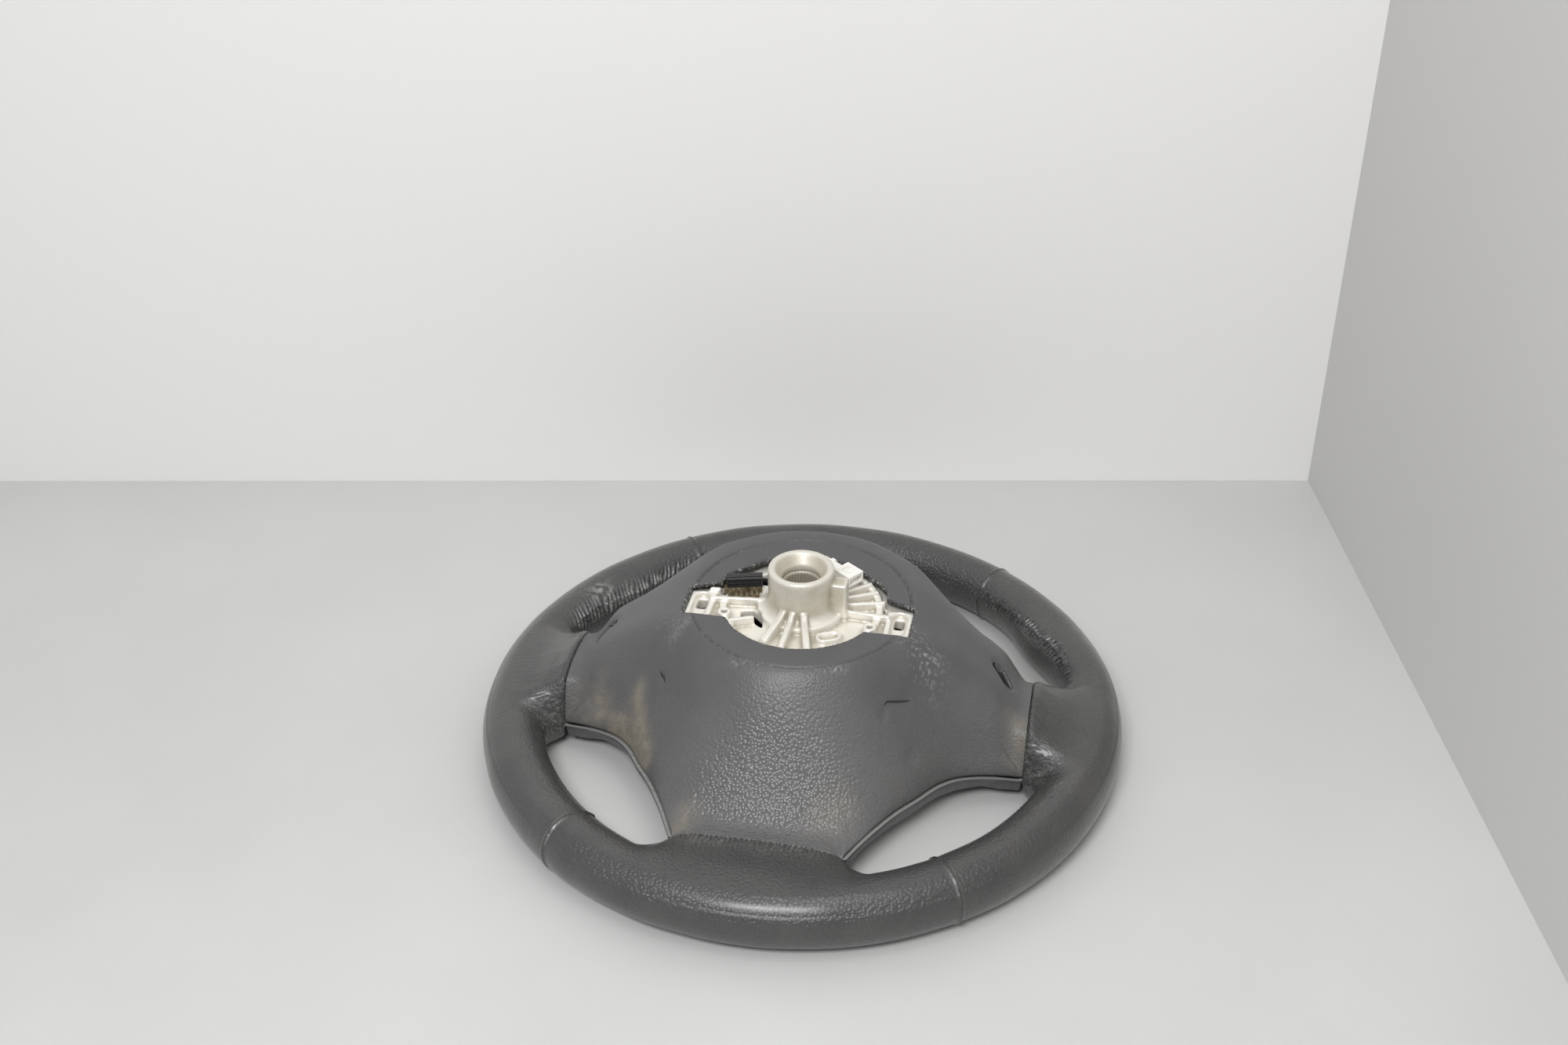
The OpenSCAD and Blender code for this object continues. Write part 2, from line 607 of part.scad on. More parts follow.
// Holes through the plate, the small one low on the left and the large one under the bracket
small_hole = [[-34, -7], [-32, -17], [-26, -16], [-18, -22], [-21, -11], [-27, -5]];
large_hole = [[-50, 21.5], [-50, 40], [-8, 56], [8, 56], [-4, 28], [-20, 21.5]];
module armature() {
    color(metal_tint) difference() {
        union() {
            plate();
            boss();
            // Gusset beside the boss
            translate([14, -6, plate_z - 1]) cube(gusset);
            for (f = fins) fin(f[0], f[1], f[2], f[3]);
            for (r = ribs) rib(r[0], r[1]);
            for (s = [-1, 1]) {
                translate([s * guide_at[0], guide_at[1], plate_front - 4]) cylinder(r = 4, h = 14);
                side_arm(s);
                rotate([0, 0, -90]) translate([0, s * low_arm_x, 0]) channel(low_path, 12, 7);
                translate([s * low_arm_x, arm_screw[1], arm_boss_z]) cylinder(r = 3.4, h = 6);
                for (y = wire_lugs) translate([s * wire_x - 3, y - 2.5, wire_z - 2.5])
                    cube([6, 5, plate_front - wire_z + 3]);
            }
            translate([pocket_at[0], pocket_at[1], plate_z - 1]) rotate([0, 0, pocket_turn])
                slab(pocket + [3.5, 3.5], 4.4, 4.5);
            rotate_extrude($fn = 96) translate([tube_r, mid_z]) circle(r = ring_core_r, $fn = 24);
        }
        // Countersink, seat of the bush and the bolt's way through
        translate([0, 0, boss_z - sink_deep]) cylinder(r1 = bolt_r, r2 = mouth_d / 2, h = sink_deep + eps);
        translate([0, 0, bush_top - eps]) cylinder(r = bolt_r, h = 5);
        translate([0, 0, bush_low]) cylinder(r = bush_r, h = bush_top - bush_low);
        // Openings in the plate, the pocket and the seat of the bracket
        translate([0, 0, 70]) linear_extrude(30) {
            polygon(small_hole);
            polygon(large_hole);
        }
        translate([pocket_at[0], pocket_at[1], plate_z + 1.5]) rotate([0, 0, pocket_turn]) slab(pocket, 2.6, 5);
        at_bracket(plate_z) translate([-13, -6.5, 0]) cube([26, 20, 12]);
        for (s = [-1, 1]) {
            translate([s * hook_x - hook_slot[0] / 2, -hook_slot[1], 70])
                cube([hook_slot[0], hook_slot[1], 30]);
            translate([s * hook_x, hook_ring_y, plate_z + 0.5]) cylinder(r = hook_tray_r, h = 6);
            translate([s * hook_x - hook_tray_r, -18, plate_z + 0.5]) cube([2 * hook_tray_r, 16.5, 6]);
            translate([s * guide_at[0], guide_at[1], 60]) cylinder(r = guide_r, h = 50);
            translate([s * wire_x, -21, wire_z]) rotate([-90, 0, 0]) cylinder(r = wire_r, h = 29);
            translate([s * low_arm_x, arm_screw[1], 10]) cylinder(r = thread_r, h = 30);
        }
    }
}
module side_arm(s) { translate([0, -8.25, 0]) mirror([s < 0 ? 1 : 0, 0, 0]) channel(side_path, 20, 9); }

// Steel bush: a plain pilot below, and serrations above it whose crests stand back from the pilot
pilot_top = 94;
crest_r = pilot_d / 2 + 0.25;
tooth = 1.05;
mouth_rise = 1.3;
module serrated_bush() {
    color([0.62, 0.62, 0.61]) difference() {
        translate([0, 0, bush_low]) cylinder(r = bush_r, h = bush_top - bush_low);
        translate([0, 0, bush_low - 1]) cylinder(d = pilot_d, h = 20);
        translate([0, 0, pilot_top]) cylinder(r = crest_r, h = 30);
        translate([0, 0, bush_top - mouth_rise])
            cylinder(r1 = crest_r, r2 = crest_r + mouth_rise, h = mouth_rise + eps);
        for (i = [0 : teeth - 1]) rotate([0, 0, i * 360 / teeth]) translate([crest_r, 0, pilot_top + 15.5])
            rotate([0, 0, 45]) cube([tooth, tooth, 30], center = true);
    }
}

// Spring wires that hold the airbag's hooks, bent from round wire
module airbag_clip(s) {
    color([0.35, 0.35, 0.36]) mirror([s < 0 ? 1 : 0, 0, 0]) translate([wire_x, 0, wire_z]) {
        translate([0, -21, 0]) rotate([-90, 0, 0]) cylinder(r = wire_r, h = 29);
        translate([-3, 8, 0]) rotate_extrude(angle = 90) translate([3, 0]) circle(r = wire_r, $fn = 24);
        translate([-11, 11, 0]) rotate([0, 90, 0]) cylinder(r = wire_r, h = 8);
    }
}
module airbag_clip_left() { airbag_clip(-1); }
module airbag_clip_right() { airbag_clip(1); }

// Bracket with the black ten-way plug, over the opening at the upper left
module at_bracket(z) { translate([-36, 9, z]) rotate([0, 0, 14]) children(); }
module plug_bracket() {
    color([0.36, 0.32, 0.24]) at_bracket(plate_z) {
        translate([-9, -6, 0]) cube([18, 8, 2.6]);
        for (x = [-8 : 3 : 8]) translate([x, -6, 2.5]) cube([1.6, 8, 1.3]);
        translate([-11, 1.5, 0]) cube([22, 9, 3.8]);
    }
}
black_z = plate_z + 3.8;
module black_plug() {
    color([0.10, 0.10, 0.11]) at_bracket(black_z) difference() {
        translate([-9.5, 2, 0]) cube([21, 6.5, 6]);
        for (i = [0 : 4]) for (z = [0.8, 3.4]) translate([-8.6 + i * 4, 1.5, z]) cube([2.9, 2, 1.8]);
        translate([-8.5, 3.8, 5.2]) cube([19, 1, 2]);
    }
}
// White plug left lying on a rib beside the boss
module white_plug() {
    color([0.96, 0.96, 0.94]) translate([16, 32.5, rib_z]) rotate([0, 0, -37]) {
        difference() {
            translate([2, -5.8, 0]) cube([13, 11.5, 7]);
            translate([12, -4.6, 1.2]) cube([5, 9, 4]);
            translate([5, -3, 6.2]) cube([6, 6, 2]);
        }
        translate([-14, -4, 0.8]) cube([16.5, 7, 4]);
        translate([-9, -5, 0.8]) cube([3, 9, 4.6]);
    }
}

// Looms from the bracket to the boards, along hand-set points
loom_r = 1.8;
left_way = [
    [-42.9, 20.4, 90.9], [-44, 23.5, 88.5], [-48, 25, 84], [-54, 24.5, 81], [-62, 23, 80], [-72, 22, 73],
    [-80, 19, 62], [-88, 14, 48], [-95, 6, 36], [-101, -2, 27], [-104.5, -7, 23]];
right_way = [
    [-35.1, 22.3, 90.9], [-33, 27, 88], [-27, 33, 83.5], [-17, 42, 81.5], [-4, 54, 81],
    [14, 58, 81], [34, 52, 81], [50, 42, 81], [64, 31, 79], [74, 24, 71], [82, 19, 59],
    [90, 12, 45], [96.5, 5, 36], [102, -3, 27], [105.5, -7.5, 23]];
module tube(way, r) {
    n = len(way);
    m = 8;
    step = function (i) way[min(n - 1, i + 1)] - way[max(0, i - 1)];
    side = function (i) let (d = step(i)) cross(d, [0, 0, 1]) / norm(cross(d, [0, 0, 1]));
    other = function (i) cross(side(i), step(i)) / norm(step(i));
    points = [for (i = [0 : n - 1]) for (k = [0 : m - 1])
        way[i] + r * (cos(360 * k / m) * side(i) + sin(360 * k / m) * other(i))];
    walls = [for (i = [0 : n - 2]) for (k = [0 : m - 1]) let (a = i * m + k, b = i * m + (k + 1) % m)
        for (face = [[a, b, b + m], [a, b + m, a + m]]) face];
    ends = [[for (k = [m - 1 : -1 : 0]) k], [for (k = [0 : m - 1]) (n - 1) * m + k]];
    polyhedron(points, concat(walls, ends));
}
module loom_left() { color([0.12, 0.12, 0.12]) tube(left_way, loom_r); }
module loom_right() { color([0.12, 0.12, 0.12]) tube(right_way, loom_r); }

armature();
serrated_bush();
rim_foam();
leather_top();
leather_right();
leather_left();
leather_bottom();
rear_cover();
front_bezel();
airbag_clip_left();
airbag_clip_right();
switch_pod_left();
switch_pod_right();
switch_board_left();
switch_board_right();
volume_rocker();
phone_button();
voice_button();
track_rocker();
mode_button();
menu_button();
plug_bracket();
black_plug();
white_plug();
loom_left();
loom_right();
bezel_screws();
pod_screws();
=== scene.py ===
import math

import bmesh
import bpy
import numpy as np
from mathutils import Matrix, Vector


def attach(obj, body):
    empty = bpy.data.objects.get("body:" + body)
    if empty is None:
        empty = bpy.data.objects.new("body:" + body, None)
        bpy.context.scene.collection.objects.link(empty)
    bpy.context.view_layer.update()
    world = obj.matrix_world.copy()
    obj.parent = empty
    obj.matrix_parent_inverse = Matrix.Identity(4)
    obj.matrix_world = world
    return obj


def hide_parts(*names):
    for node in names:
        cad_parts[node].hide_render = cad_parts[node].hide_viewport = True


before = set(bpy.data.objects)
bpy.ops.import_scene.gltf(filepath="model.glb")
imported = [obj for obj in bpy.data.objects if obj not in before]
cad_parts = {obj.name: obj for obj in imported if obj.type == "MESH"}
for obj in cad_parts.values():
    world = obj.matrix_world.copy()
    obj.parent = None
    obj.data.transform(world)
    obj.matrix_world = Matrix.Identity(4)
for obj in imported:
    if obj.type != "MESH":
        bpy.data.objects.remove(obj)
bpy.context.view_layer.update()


# Camera, standing low on the 6 o'clock side of the wheel, which lies with its driver's side down.
# Lens and place were fitted to the outline of the rim.
def stand(name, data):
    """A new object in the scene, which shows a camera, a lamp or a mesh."""
    made = bpy.data.objects.new(name, data)
    bpy.context.collection.objects.link(made)
    return made


lens = bpy.data.cameras.new("camera")
lens.sensor_width = 36
lens.lens = 41.69
lens.clip_start = 0.02
to_right = Vector((0.9805, 0.1962, -0.0087))
to_top = Vector((-0.0984, 0.5289, 0.8429))
to_back = to_right.cross(to_top)
eye_at = (0.1628, -0.8377, 0.6935)
eye = stand("camera", lens)
eye.matrix_world = Matrix([*zip(to_right, to_top, to_back, eye_at), (0, 0, 0, 1)])
bpy.context.scene.camera = eye
bpy.context.scene.view_settings.view_transform = "Standard"


# Studio: a matt grey floor board, with two off-white wall boards standing on it behind and to the right.
# All are plain sheets painted on one side. A wide lamp near the camera and one overhead light them.
def tone(*parts):
    """A colour from its parts as a screen shows them, 0 to 255."""
    shown = [part / 255 for part in parts]
    return tuple(v / 12.92 if v <= 0.04045 else ((v + 0.055) / 1.055) ** 2.4 for v in shown)


def paint(name, colour, rough, metal=0.0):
    """A new material, with its nodes and its shader."""
    made = bpy.data.materials.new(name)
    made.use_nodes = True
    shader = made.node_tree.nodes["Principled BSDF"]
    shader.inputs["Base Color"].default_value = (*colour, 1)
    shader.inputs["Roughness"].default_value = rough
    shader.inputs["Metallic"].default_value = metal
    return made, made.node_tree, shader


def add(tree, kind, values=None, **settings):
    """A new node, with its settings made and its inputs set or joined."""
    made = tree.nodes.new("ShaderNode" + kind)
    for key, value in settings.items():
        setattr(made, key, value)
    for key, value in (values or {}).items():
        if isinstance(value, bpy.types.NodeSocket):
            tree.links.new(value, made.inputs[key])
        else:
            made.inputs[key].default_value = value
    return made


def place(tree):
    return add(tree, "TexCoord").outputs["Object"]


def noise(tree, where, size, detail=3.0, rough=0.55, twist=0.0):
    """Cloudy noise, size in metres."""
    return add(tree, "TexNoise", {
        "Vector": where, "Scale": 1 / size, "Detail": detail, "Roughness": rough,
        "Distortion": twist}).outputs["Fac"]


def levels(tree, value, lo, hi, to_lo=0.0, to_hi=1.0):
    return add(tree, "MapRange", {
        "Value": value, "From Min": lo, "From Max": hi, "To Min": to_lo, "To Max": to_hi}).outputs["Result"]


def sums(tree, operation, a, b):
    return add(tree, "Math", {0: a, 1: b}, operation=operation).outputs[0]


def mix(tree, share, a, b, kind="RGBA"):
    """Two colours mixed by a share, or two normals where kind is VECTOR."""
    first, out = (6, 2) if kind == "RGBA" else (4, 1)
    a, b = ((*v, 1) if isinstance(v, tuple) else v for v in (a, b))
    return add(tree, "Mix", {0: share, first: a, first + 1: b}, data_type=kind).outputs[out]


def blotched(tree, cloud, lo, hi, first, second):
    """A colour that drifts between two tones as the noise does."""
    return mix(tree, levels(tree, cloud, lo, hi), first, second)


def lay_on(tree, shader, colour=None, rough=None, bumps=None):
    """Joins a material's colour, roughness and bumps to its shader."""
    for key, value in (("Base Color", colour), ("Roughness", rough), ("Normal", bumps)):
        if value is not None:
            tree.links.new(value, shader.inputs[key])


def one_sided(tree, shader):
    """The sheet is there only for what looks at its painted side, so from behind it hides nothing."""
    behind = add(tree, "NewGeometry").outputs["Backfacing"]
    clear = add(tree, "BsdfTransparent").outputs[0]
    shown = add(tree, "MixShader", {0: behind, 1: shader.outputs[0], 2: clear}).outputs[0]
    tree.links.new(shown, tree.nodes["Material Output"].inputs["Surface"])


def mesh_of(name, points, faces, material=None):
    """A mesh from points in metres."""
    mesh = bpy.data.meshes.new(name)
    mesh.from_pydata(points, [], faces)
    if material:
        mesh.materials.append(material)
    return mesh


def board(name, corners, material):
    stand(name, mesh_of(name, corners, [(0, 1, 2, 3)], material))


def lamp(name, where, aim, wide, deep, watts):
    light = bpy.data.lights.new(name, "AREA")
    light.shape = "RECTANGLE"
    light.size = wide
    light.size_y = deep
    light.energy = watts
    made = stand(name, light)
    made.location = where
    made.rotation_euler = (Vector(aim) - Vector(where)).to_track_quat("-Z", "Y").to_euler()


floor_paint, tree, shader = paint("studio_floor", tone(212, 212, 211), 0.5)
cloud = noise(tree, place(tree), 0.25, 4)
lay_on(tree, shader, blotched(tree, cloud, 0.3, 0.7, tone(203, 204, 202), tone(211, 212, 210)))
one_sided(tree, shader)
floor_half, floor_z = 3.0, -0.0003
board("studio_floor", [
    (x * floor_half, y * floor_half, floor_z) for x, y in ((-1, -1), (1, -1), (1, 1), (-1, 1))], floor_paint)

wall_high = Vector((0, 0, 1.6))
wall_corner = Vector((0.310, 0.353, 0))
back_end = wall_corner - 2.4 * Vector((0.983, 0.183, 0))
side_end = wall_corner + 3.0 * Vector((0.220, -0.975, 0))
for name, foot, end, colour in (
        ("back", back_end, wall_corner, tone(240, 239, 237)),
        ("side", wall_corner, side_end, tone(206, 205, 203))):
    wall_paint, tree, shader = paint("studio_wall_" + name, colour, 0.6)
    one_sided(tree, shader)
    board("studio_wall_" + name, [tuple(p) for p in (foot, end, end + wall_high, foot + wall_high)], wall_paint)

# The room is brighter for the camera and in reflections than the light it gives
world = bpy.data.worlds.new("room")
bpy.context.scene.world = world
world.use_nodes = True
tree = world.node_tree
sky = tree.nodes["Background"]
sky.inputs["Color"].default_value = (*tone(250, 251, 255), 1)
seen = add(tree, "LightPath").outputs
mirrored = sums(tree, "MAXIMUM", seen["Is Glossy Ray"], seen["Is Transmission Ray"])
looked_at = sums(tree, "MAXIMUM", seen["Is Camera Ray"], mirrored)
tree.links.new(levels(tree, looked_at, 0, 1, 0.4, 0.7), sky.inputs["Strength"])

lamp("key_lamp", (-0.05, -1.0, 1.15), (0, 0, 0.03), 0.5, 0.32, 11.5)
lamp("overhead_lamp", (0.3, -0.2, 1.5), (0.1, 0, 0), 0.9, 0.6, 3.5)

# Rim leather: four sewn panels of pebble-grained hide, drawn over the foam and glued.
# Each panel ends in a turned seam across the rim, and its long edges are laced together on
# the inner side with dark thread, which gathers the hide into short creases.
mm = 0.001
# Sizes in millimetres, and angles in degrees from 12 o'clock: the rim's section, its cross seams,
# and where the leather of the side spokes and of the low spoke ends
rim_r, rim_mid, rim_half = 172.5, 17.5, 17.5
rim_high = rim_mid + rim_half
wide_out, wide_top, wide_low = 15.5, 16.0, 20.0
seam_upper, seam_lower = 35.5, 143.0
side_reach, side_high, side_low, low_reach, low_wide = 135.0, 24.5, 40.0, 130.0, 46.0
spoke_face = 8.0
side_from = math.degrees(math.atan2(side_reach, side_high))
side_to = 90 + math.degrees(math.atan2(side_low, side_reach))
low_from = 180 - math.degrees(math.atan2(low_wide, low_reach))
run_in = 4.5


def eased(a, b, x):
    """0 at a and 1 at b, with a soft start and end."""
    t = np.clip((x - a) / (b - a), 0, 1)
    return t * t * (3 - 2 * t)


def even(function, x, reach):
    """A function averaged over a short reach, which rounds off its kinks."""
    return sum(function(x + reach * d) for d in (-1, -0.5, 0, 0.5, 1)) / 5


def side_line(y):
    """Height of the leather's edge along a side spoke."""
    return np.interp(y, [-41, -40, -36.5, -31.5, -20, -5, 8, 16, 20.5, 22.5, 24.5, 25.5],
                     [17, 19, 34, 44, 48, 49, 47.5, 44, 40, 34, 23.5, 20])


def low_line(x):
    """Height of the leather's edge along the low spoke."""
    return np.interp(x, [0, 30, 41, 46, 49], [29.5, 28.5, 27, 23.5, 21])


def waves(points, size, seed, count=14):
    """Soft random waves of about the given size in millimetres, from -1 to 1."""
    rng = np.random.default_rng(seed)
    total = np.zeros(points.shape[:-1])
    for _ in range(count):
        way = rng.normal(size=3)
        way *= rng.uniform(0.7, 1.4) * 2 * math.pi / (size * np.linalg.norm(way))
        total += np.sin(points @ way + rng.uniform(0, 2 * math.pi))
    return total / math.sqrt(count) * 0.7


def from_top(angle):
    """Degrees from 12 o'clock, counted alike on both sides."""
    turn = np.mod(angle, 360)
    return np.minimum(turn, 360 - turn)[:, None]


def rim_controls(angle):
    """The sixteen control points of the section at each angle, as radius and height."""
    f = from_top(angle)
    phi = np.radians(-90 + 22.5 * np.arange(16)[None, :])
    wide_in = wide_top + (wide_low - wide_top) * eased(70, 112, f) + 7 * np.exp(-((f - 56) / 10) ** 2)
    r = rim_r + np.where(np.cos(phi) > 1e-9, wide_out, wide_in) * np.cos(phi)
    z = rim_mid + rim_half * np.sin(phi) + 0 * f
    side = (eased(side_from - run_in, side_from, f) * (1 - eased(side_to, side_to + run_in, f)))[:, 0]
    low = eased(low_from - run_in, low_from, f)[:, 0]
    turn = np.radians(f[:, 0])
    is_low, is_side = low > 0, (side > 0) & (low <= 0)
    reach = np.where(is_side, side_reach / np.maximum(np.sin(turn), 0.2), rim_r)
    reach = np.where(is_low, low_reach / np.maximum(np.abs(np.cos(turn)), 0.2), reach)
    along_side = side_reach / np.tan(np.clip(turn, 0.5, 3.0))
    along_low = np.abs(low_reach * np.tan(math.pi - turn))
    top = np.where(is_side, even(side_line, along_side, 1.2), rim_high)
    top = np.where(is_low, even(low_line, along_low, 1.0), top)
    # Over the spoke from the rim's crest to the leather's end, and back along the spoke's lower face
    away, floor = reach - rim_r, spoke_face + 1
    path = np.stack([np.stack([out, up + 0 * top], -1) for out, up in (
        (rim_r + 0 * top, rim_high),
        (rim_r + away * 0.35, rim_high + (top - rim_high) * 0.2),
        (rim_r + away * 0.7, rim_high + (top - rim_high) * 0.62),
        (reach + 0.35, top),
        (reach, (top + floor) / 2),
        (reach + 1, floor),
        (rim_r + away * 0.7, 0.8 * floor),
        (rim_r + away * 0.35, 0.3 * floor))], 1)
    share = np.maximum(side, low)[:, None, None]
    tube = np.stack([r, z], -1)
    tube[:, 8:] = tube[:, 8:] * (1 - share) + path * share
    return tube


def spline(a, b, c, d, t):
    """A smooth curve from b to c, coming from a and going on to d."""
    square, cube = 2 * a - 5 * b + 4 * c - d, 3 * b - a - 3 * c + d
    return 0.5 * (2 * b + (c - a) * t + square * t * t + cube * t ** 3)


def rounded(controls, steps):
    """A closed smooth curve through the control points of each row."""
    t = (np.arange(steps) / steps)[None, None, :, None]
    curve = spline(*(np.roll(controls, s, axis=1)[:, :, None] for s in (1, 0, -1, -2)), t)
    return curve.reshape(len(controls), -1, 2)


def grid_normals(grid, closed):
    across = np.roll(grid, -1, 1) - np.roll(grid, 1, 1) if closed else np.gradient(grid, axis=1)
    along = np.gradient(grid, axis=0)
    normal = np.cross(along, across)
    return normal / np.maximum(np.linalg.norm(normal, axis=-1, keepdims=True), 1e-9)


def grid_faces(rows, columns, closed, first=0):
    i, j = np.meshgrid(np.arange(rows - 1), np.arange(columns if closed else columns - 1), indexing="ij")
    a, b = i * columns + j, i * columns + (j + 1) % columns
    return (np.stack([a, b, b + columns, a + columns], -1) + first).reshape(-1, 4)


def near_point(grid, centre, reach):
    """Closeness, 1 at the centre and 0 beyond reach."""
    return np.exp(-np.sum((grid - np.array(centre)) ** 2, -1) / reach ** 2)


def put_marks(mesh, marks):
    """Writes a value for each point of the mesh under each mark's name."""
    for key, values in marks.items():
        column = mesh.attributes.new(key, "FLOAT", "POINT").data
        column.foreach_set("value", np.asarray(values, dtype=np.float32).ravel())


def mark(tree, name):
    return add(tree, "Attribute", attribute_name=name).outputs["Fac"]


def piece(name, points, faces, material, marks=None):
    """A mesh piece of the wheel from points in millimetres."""
    mesh = mesh_of(name, (np.asarray(points) * mm).tolist(), np.asarray(faces).tolist(), material)
    put_marks(mesh, marks or {})
    mesh.shade_smooth()
    mesh.update()
    made = stand(name, mesh)
    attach(made, "wheel")
    return made


def times(tree, a, b):
    return sums(tree, "MULTIPLY", a, b)


def relief(tree, height, depth, below=None, strength=1.0):
    """Bumps of the given depth in metres, over those below."""
    values = {"Height": height, "Distance": depth, "Strength": strength}
    if below is not None:
        values["Normal"] = below
    return add(tree, "Bump", values).outputs["Normal"]


def pits(tree, where, per_metre, loose=1.0):
    """Distance from the middle of each of many small cells."""
    values = {"Vector": where, "Scale": per_metre, "Randomness": loose}
    return add(tree, "TexVoronoi", values).outputs["Distance"]


def pebbles(tree, where, size, depth, below):
    """Domed grains that meet in fine creases."""
    away = pits(tree, where, 1 / size, 0.9)
    return relief(tree, sums(tree, "SUBTRACT", 1.0, times(tree, away, away)), depth, below)


hide, tree, shader = paint("rim_leather", tone(68, 67, 67), 0.36)
shader.inputs["Coat Weight"].default_value = 0.9
shader.inputs["Coat Roughness"].default_value = 0.3
where = place(tree)
fold, rubbed_and_highlit, crease_and_seam_shade = (mark(tree, key) for key in ("fold", "rubbed_and_highlit", "crease_and_seam_shade"))
patch = noise(tree, where, 0.035, 4)
fine = noise(tree, where, 0.006, 3)
base = blotched(tree, patch, 0.3, 0.7, tone(49, 49, 49), tone(63, 62, 61))
# Painted shade, darkest in the folds between the laced pleats and in the grooves of the cross seams
base = mix(tree, times(tree, crease_and_seam_shade, 0.85), base, tone(30, 29, 28))
# A rubbed spot, and painted highlights on the crests of pleats, wrinkles and tucks and beside the cross seams
base = mix(tree, times(tree, rubbed_and_highlit, levels(tree, fine, 0.35, 0.6, 0.2, 1.0)), base, tone(152, 151, 147))
shine = levels(tree, sums(tree, "ADD", patch, times(tree, fine, 0.3)), 0.45, 0.85, 0.44, 0.31)
shine = sums(tree, "SUBTRACT", shine, times(tree, fold, 0.1))
crumple = sums(tree, "SUBTRACT", noise(tree, where, 0.003, 4, 0.6, 1.6), 0.5)
crumple = add(tree, "Math", {0: crumple}, operation="ABSOLUTE").outputs[0]
bumped = relief(tree, noise(tree, where, 0.02, 3), 0.001, strength=0.5)
bumped = relief(tree, times(tree, crumple, fold), 0.002, bumped)
lay_on(tree, shader, base, shine, pebbles(tree, where, 0.0019, 0.0006, bumped))

row_turn, steps_round = 0.18, 7
pleat_pitch, pleat_lean, lace_r = 3.0, 0.3, 153.0
low_seam_y = -130.5
# Where the laced seam runs, as degrees from 12 o'clock and degrees round the section, right and left
lace_right = [[0, 29, 38, 46, 53, 63, 70, 90, 110], [172, 168, 161, 146, 137, 131, 134, 140, 158]]
lace_left = [[0, 29, 45, 50, 57, 65, 71, 90, 110], [172, 168, 158, 156, 148, 142, 144, 145, 158]]
# Wrinkled places below the roots of the side spokes, and a rubbed one on the left, with their sizes
root_folds = [((-147, -43, 28), 12), ((-139, -45, 20), 9), ((138, -35, 36), 10), ((144, -44, 26), 12)]
rubbed_place = ((-146, 75.6, 33.0), 8.0)
# The stitches span this many grid columns to each side of the seam
stitch_half, thread_half = 4, 0.45
thread_points, thread_faces = [], []


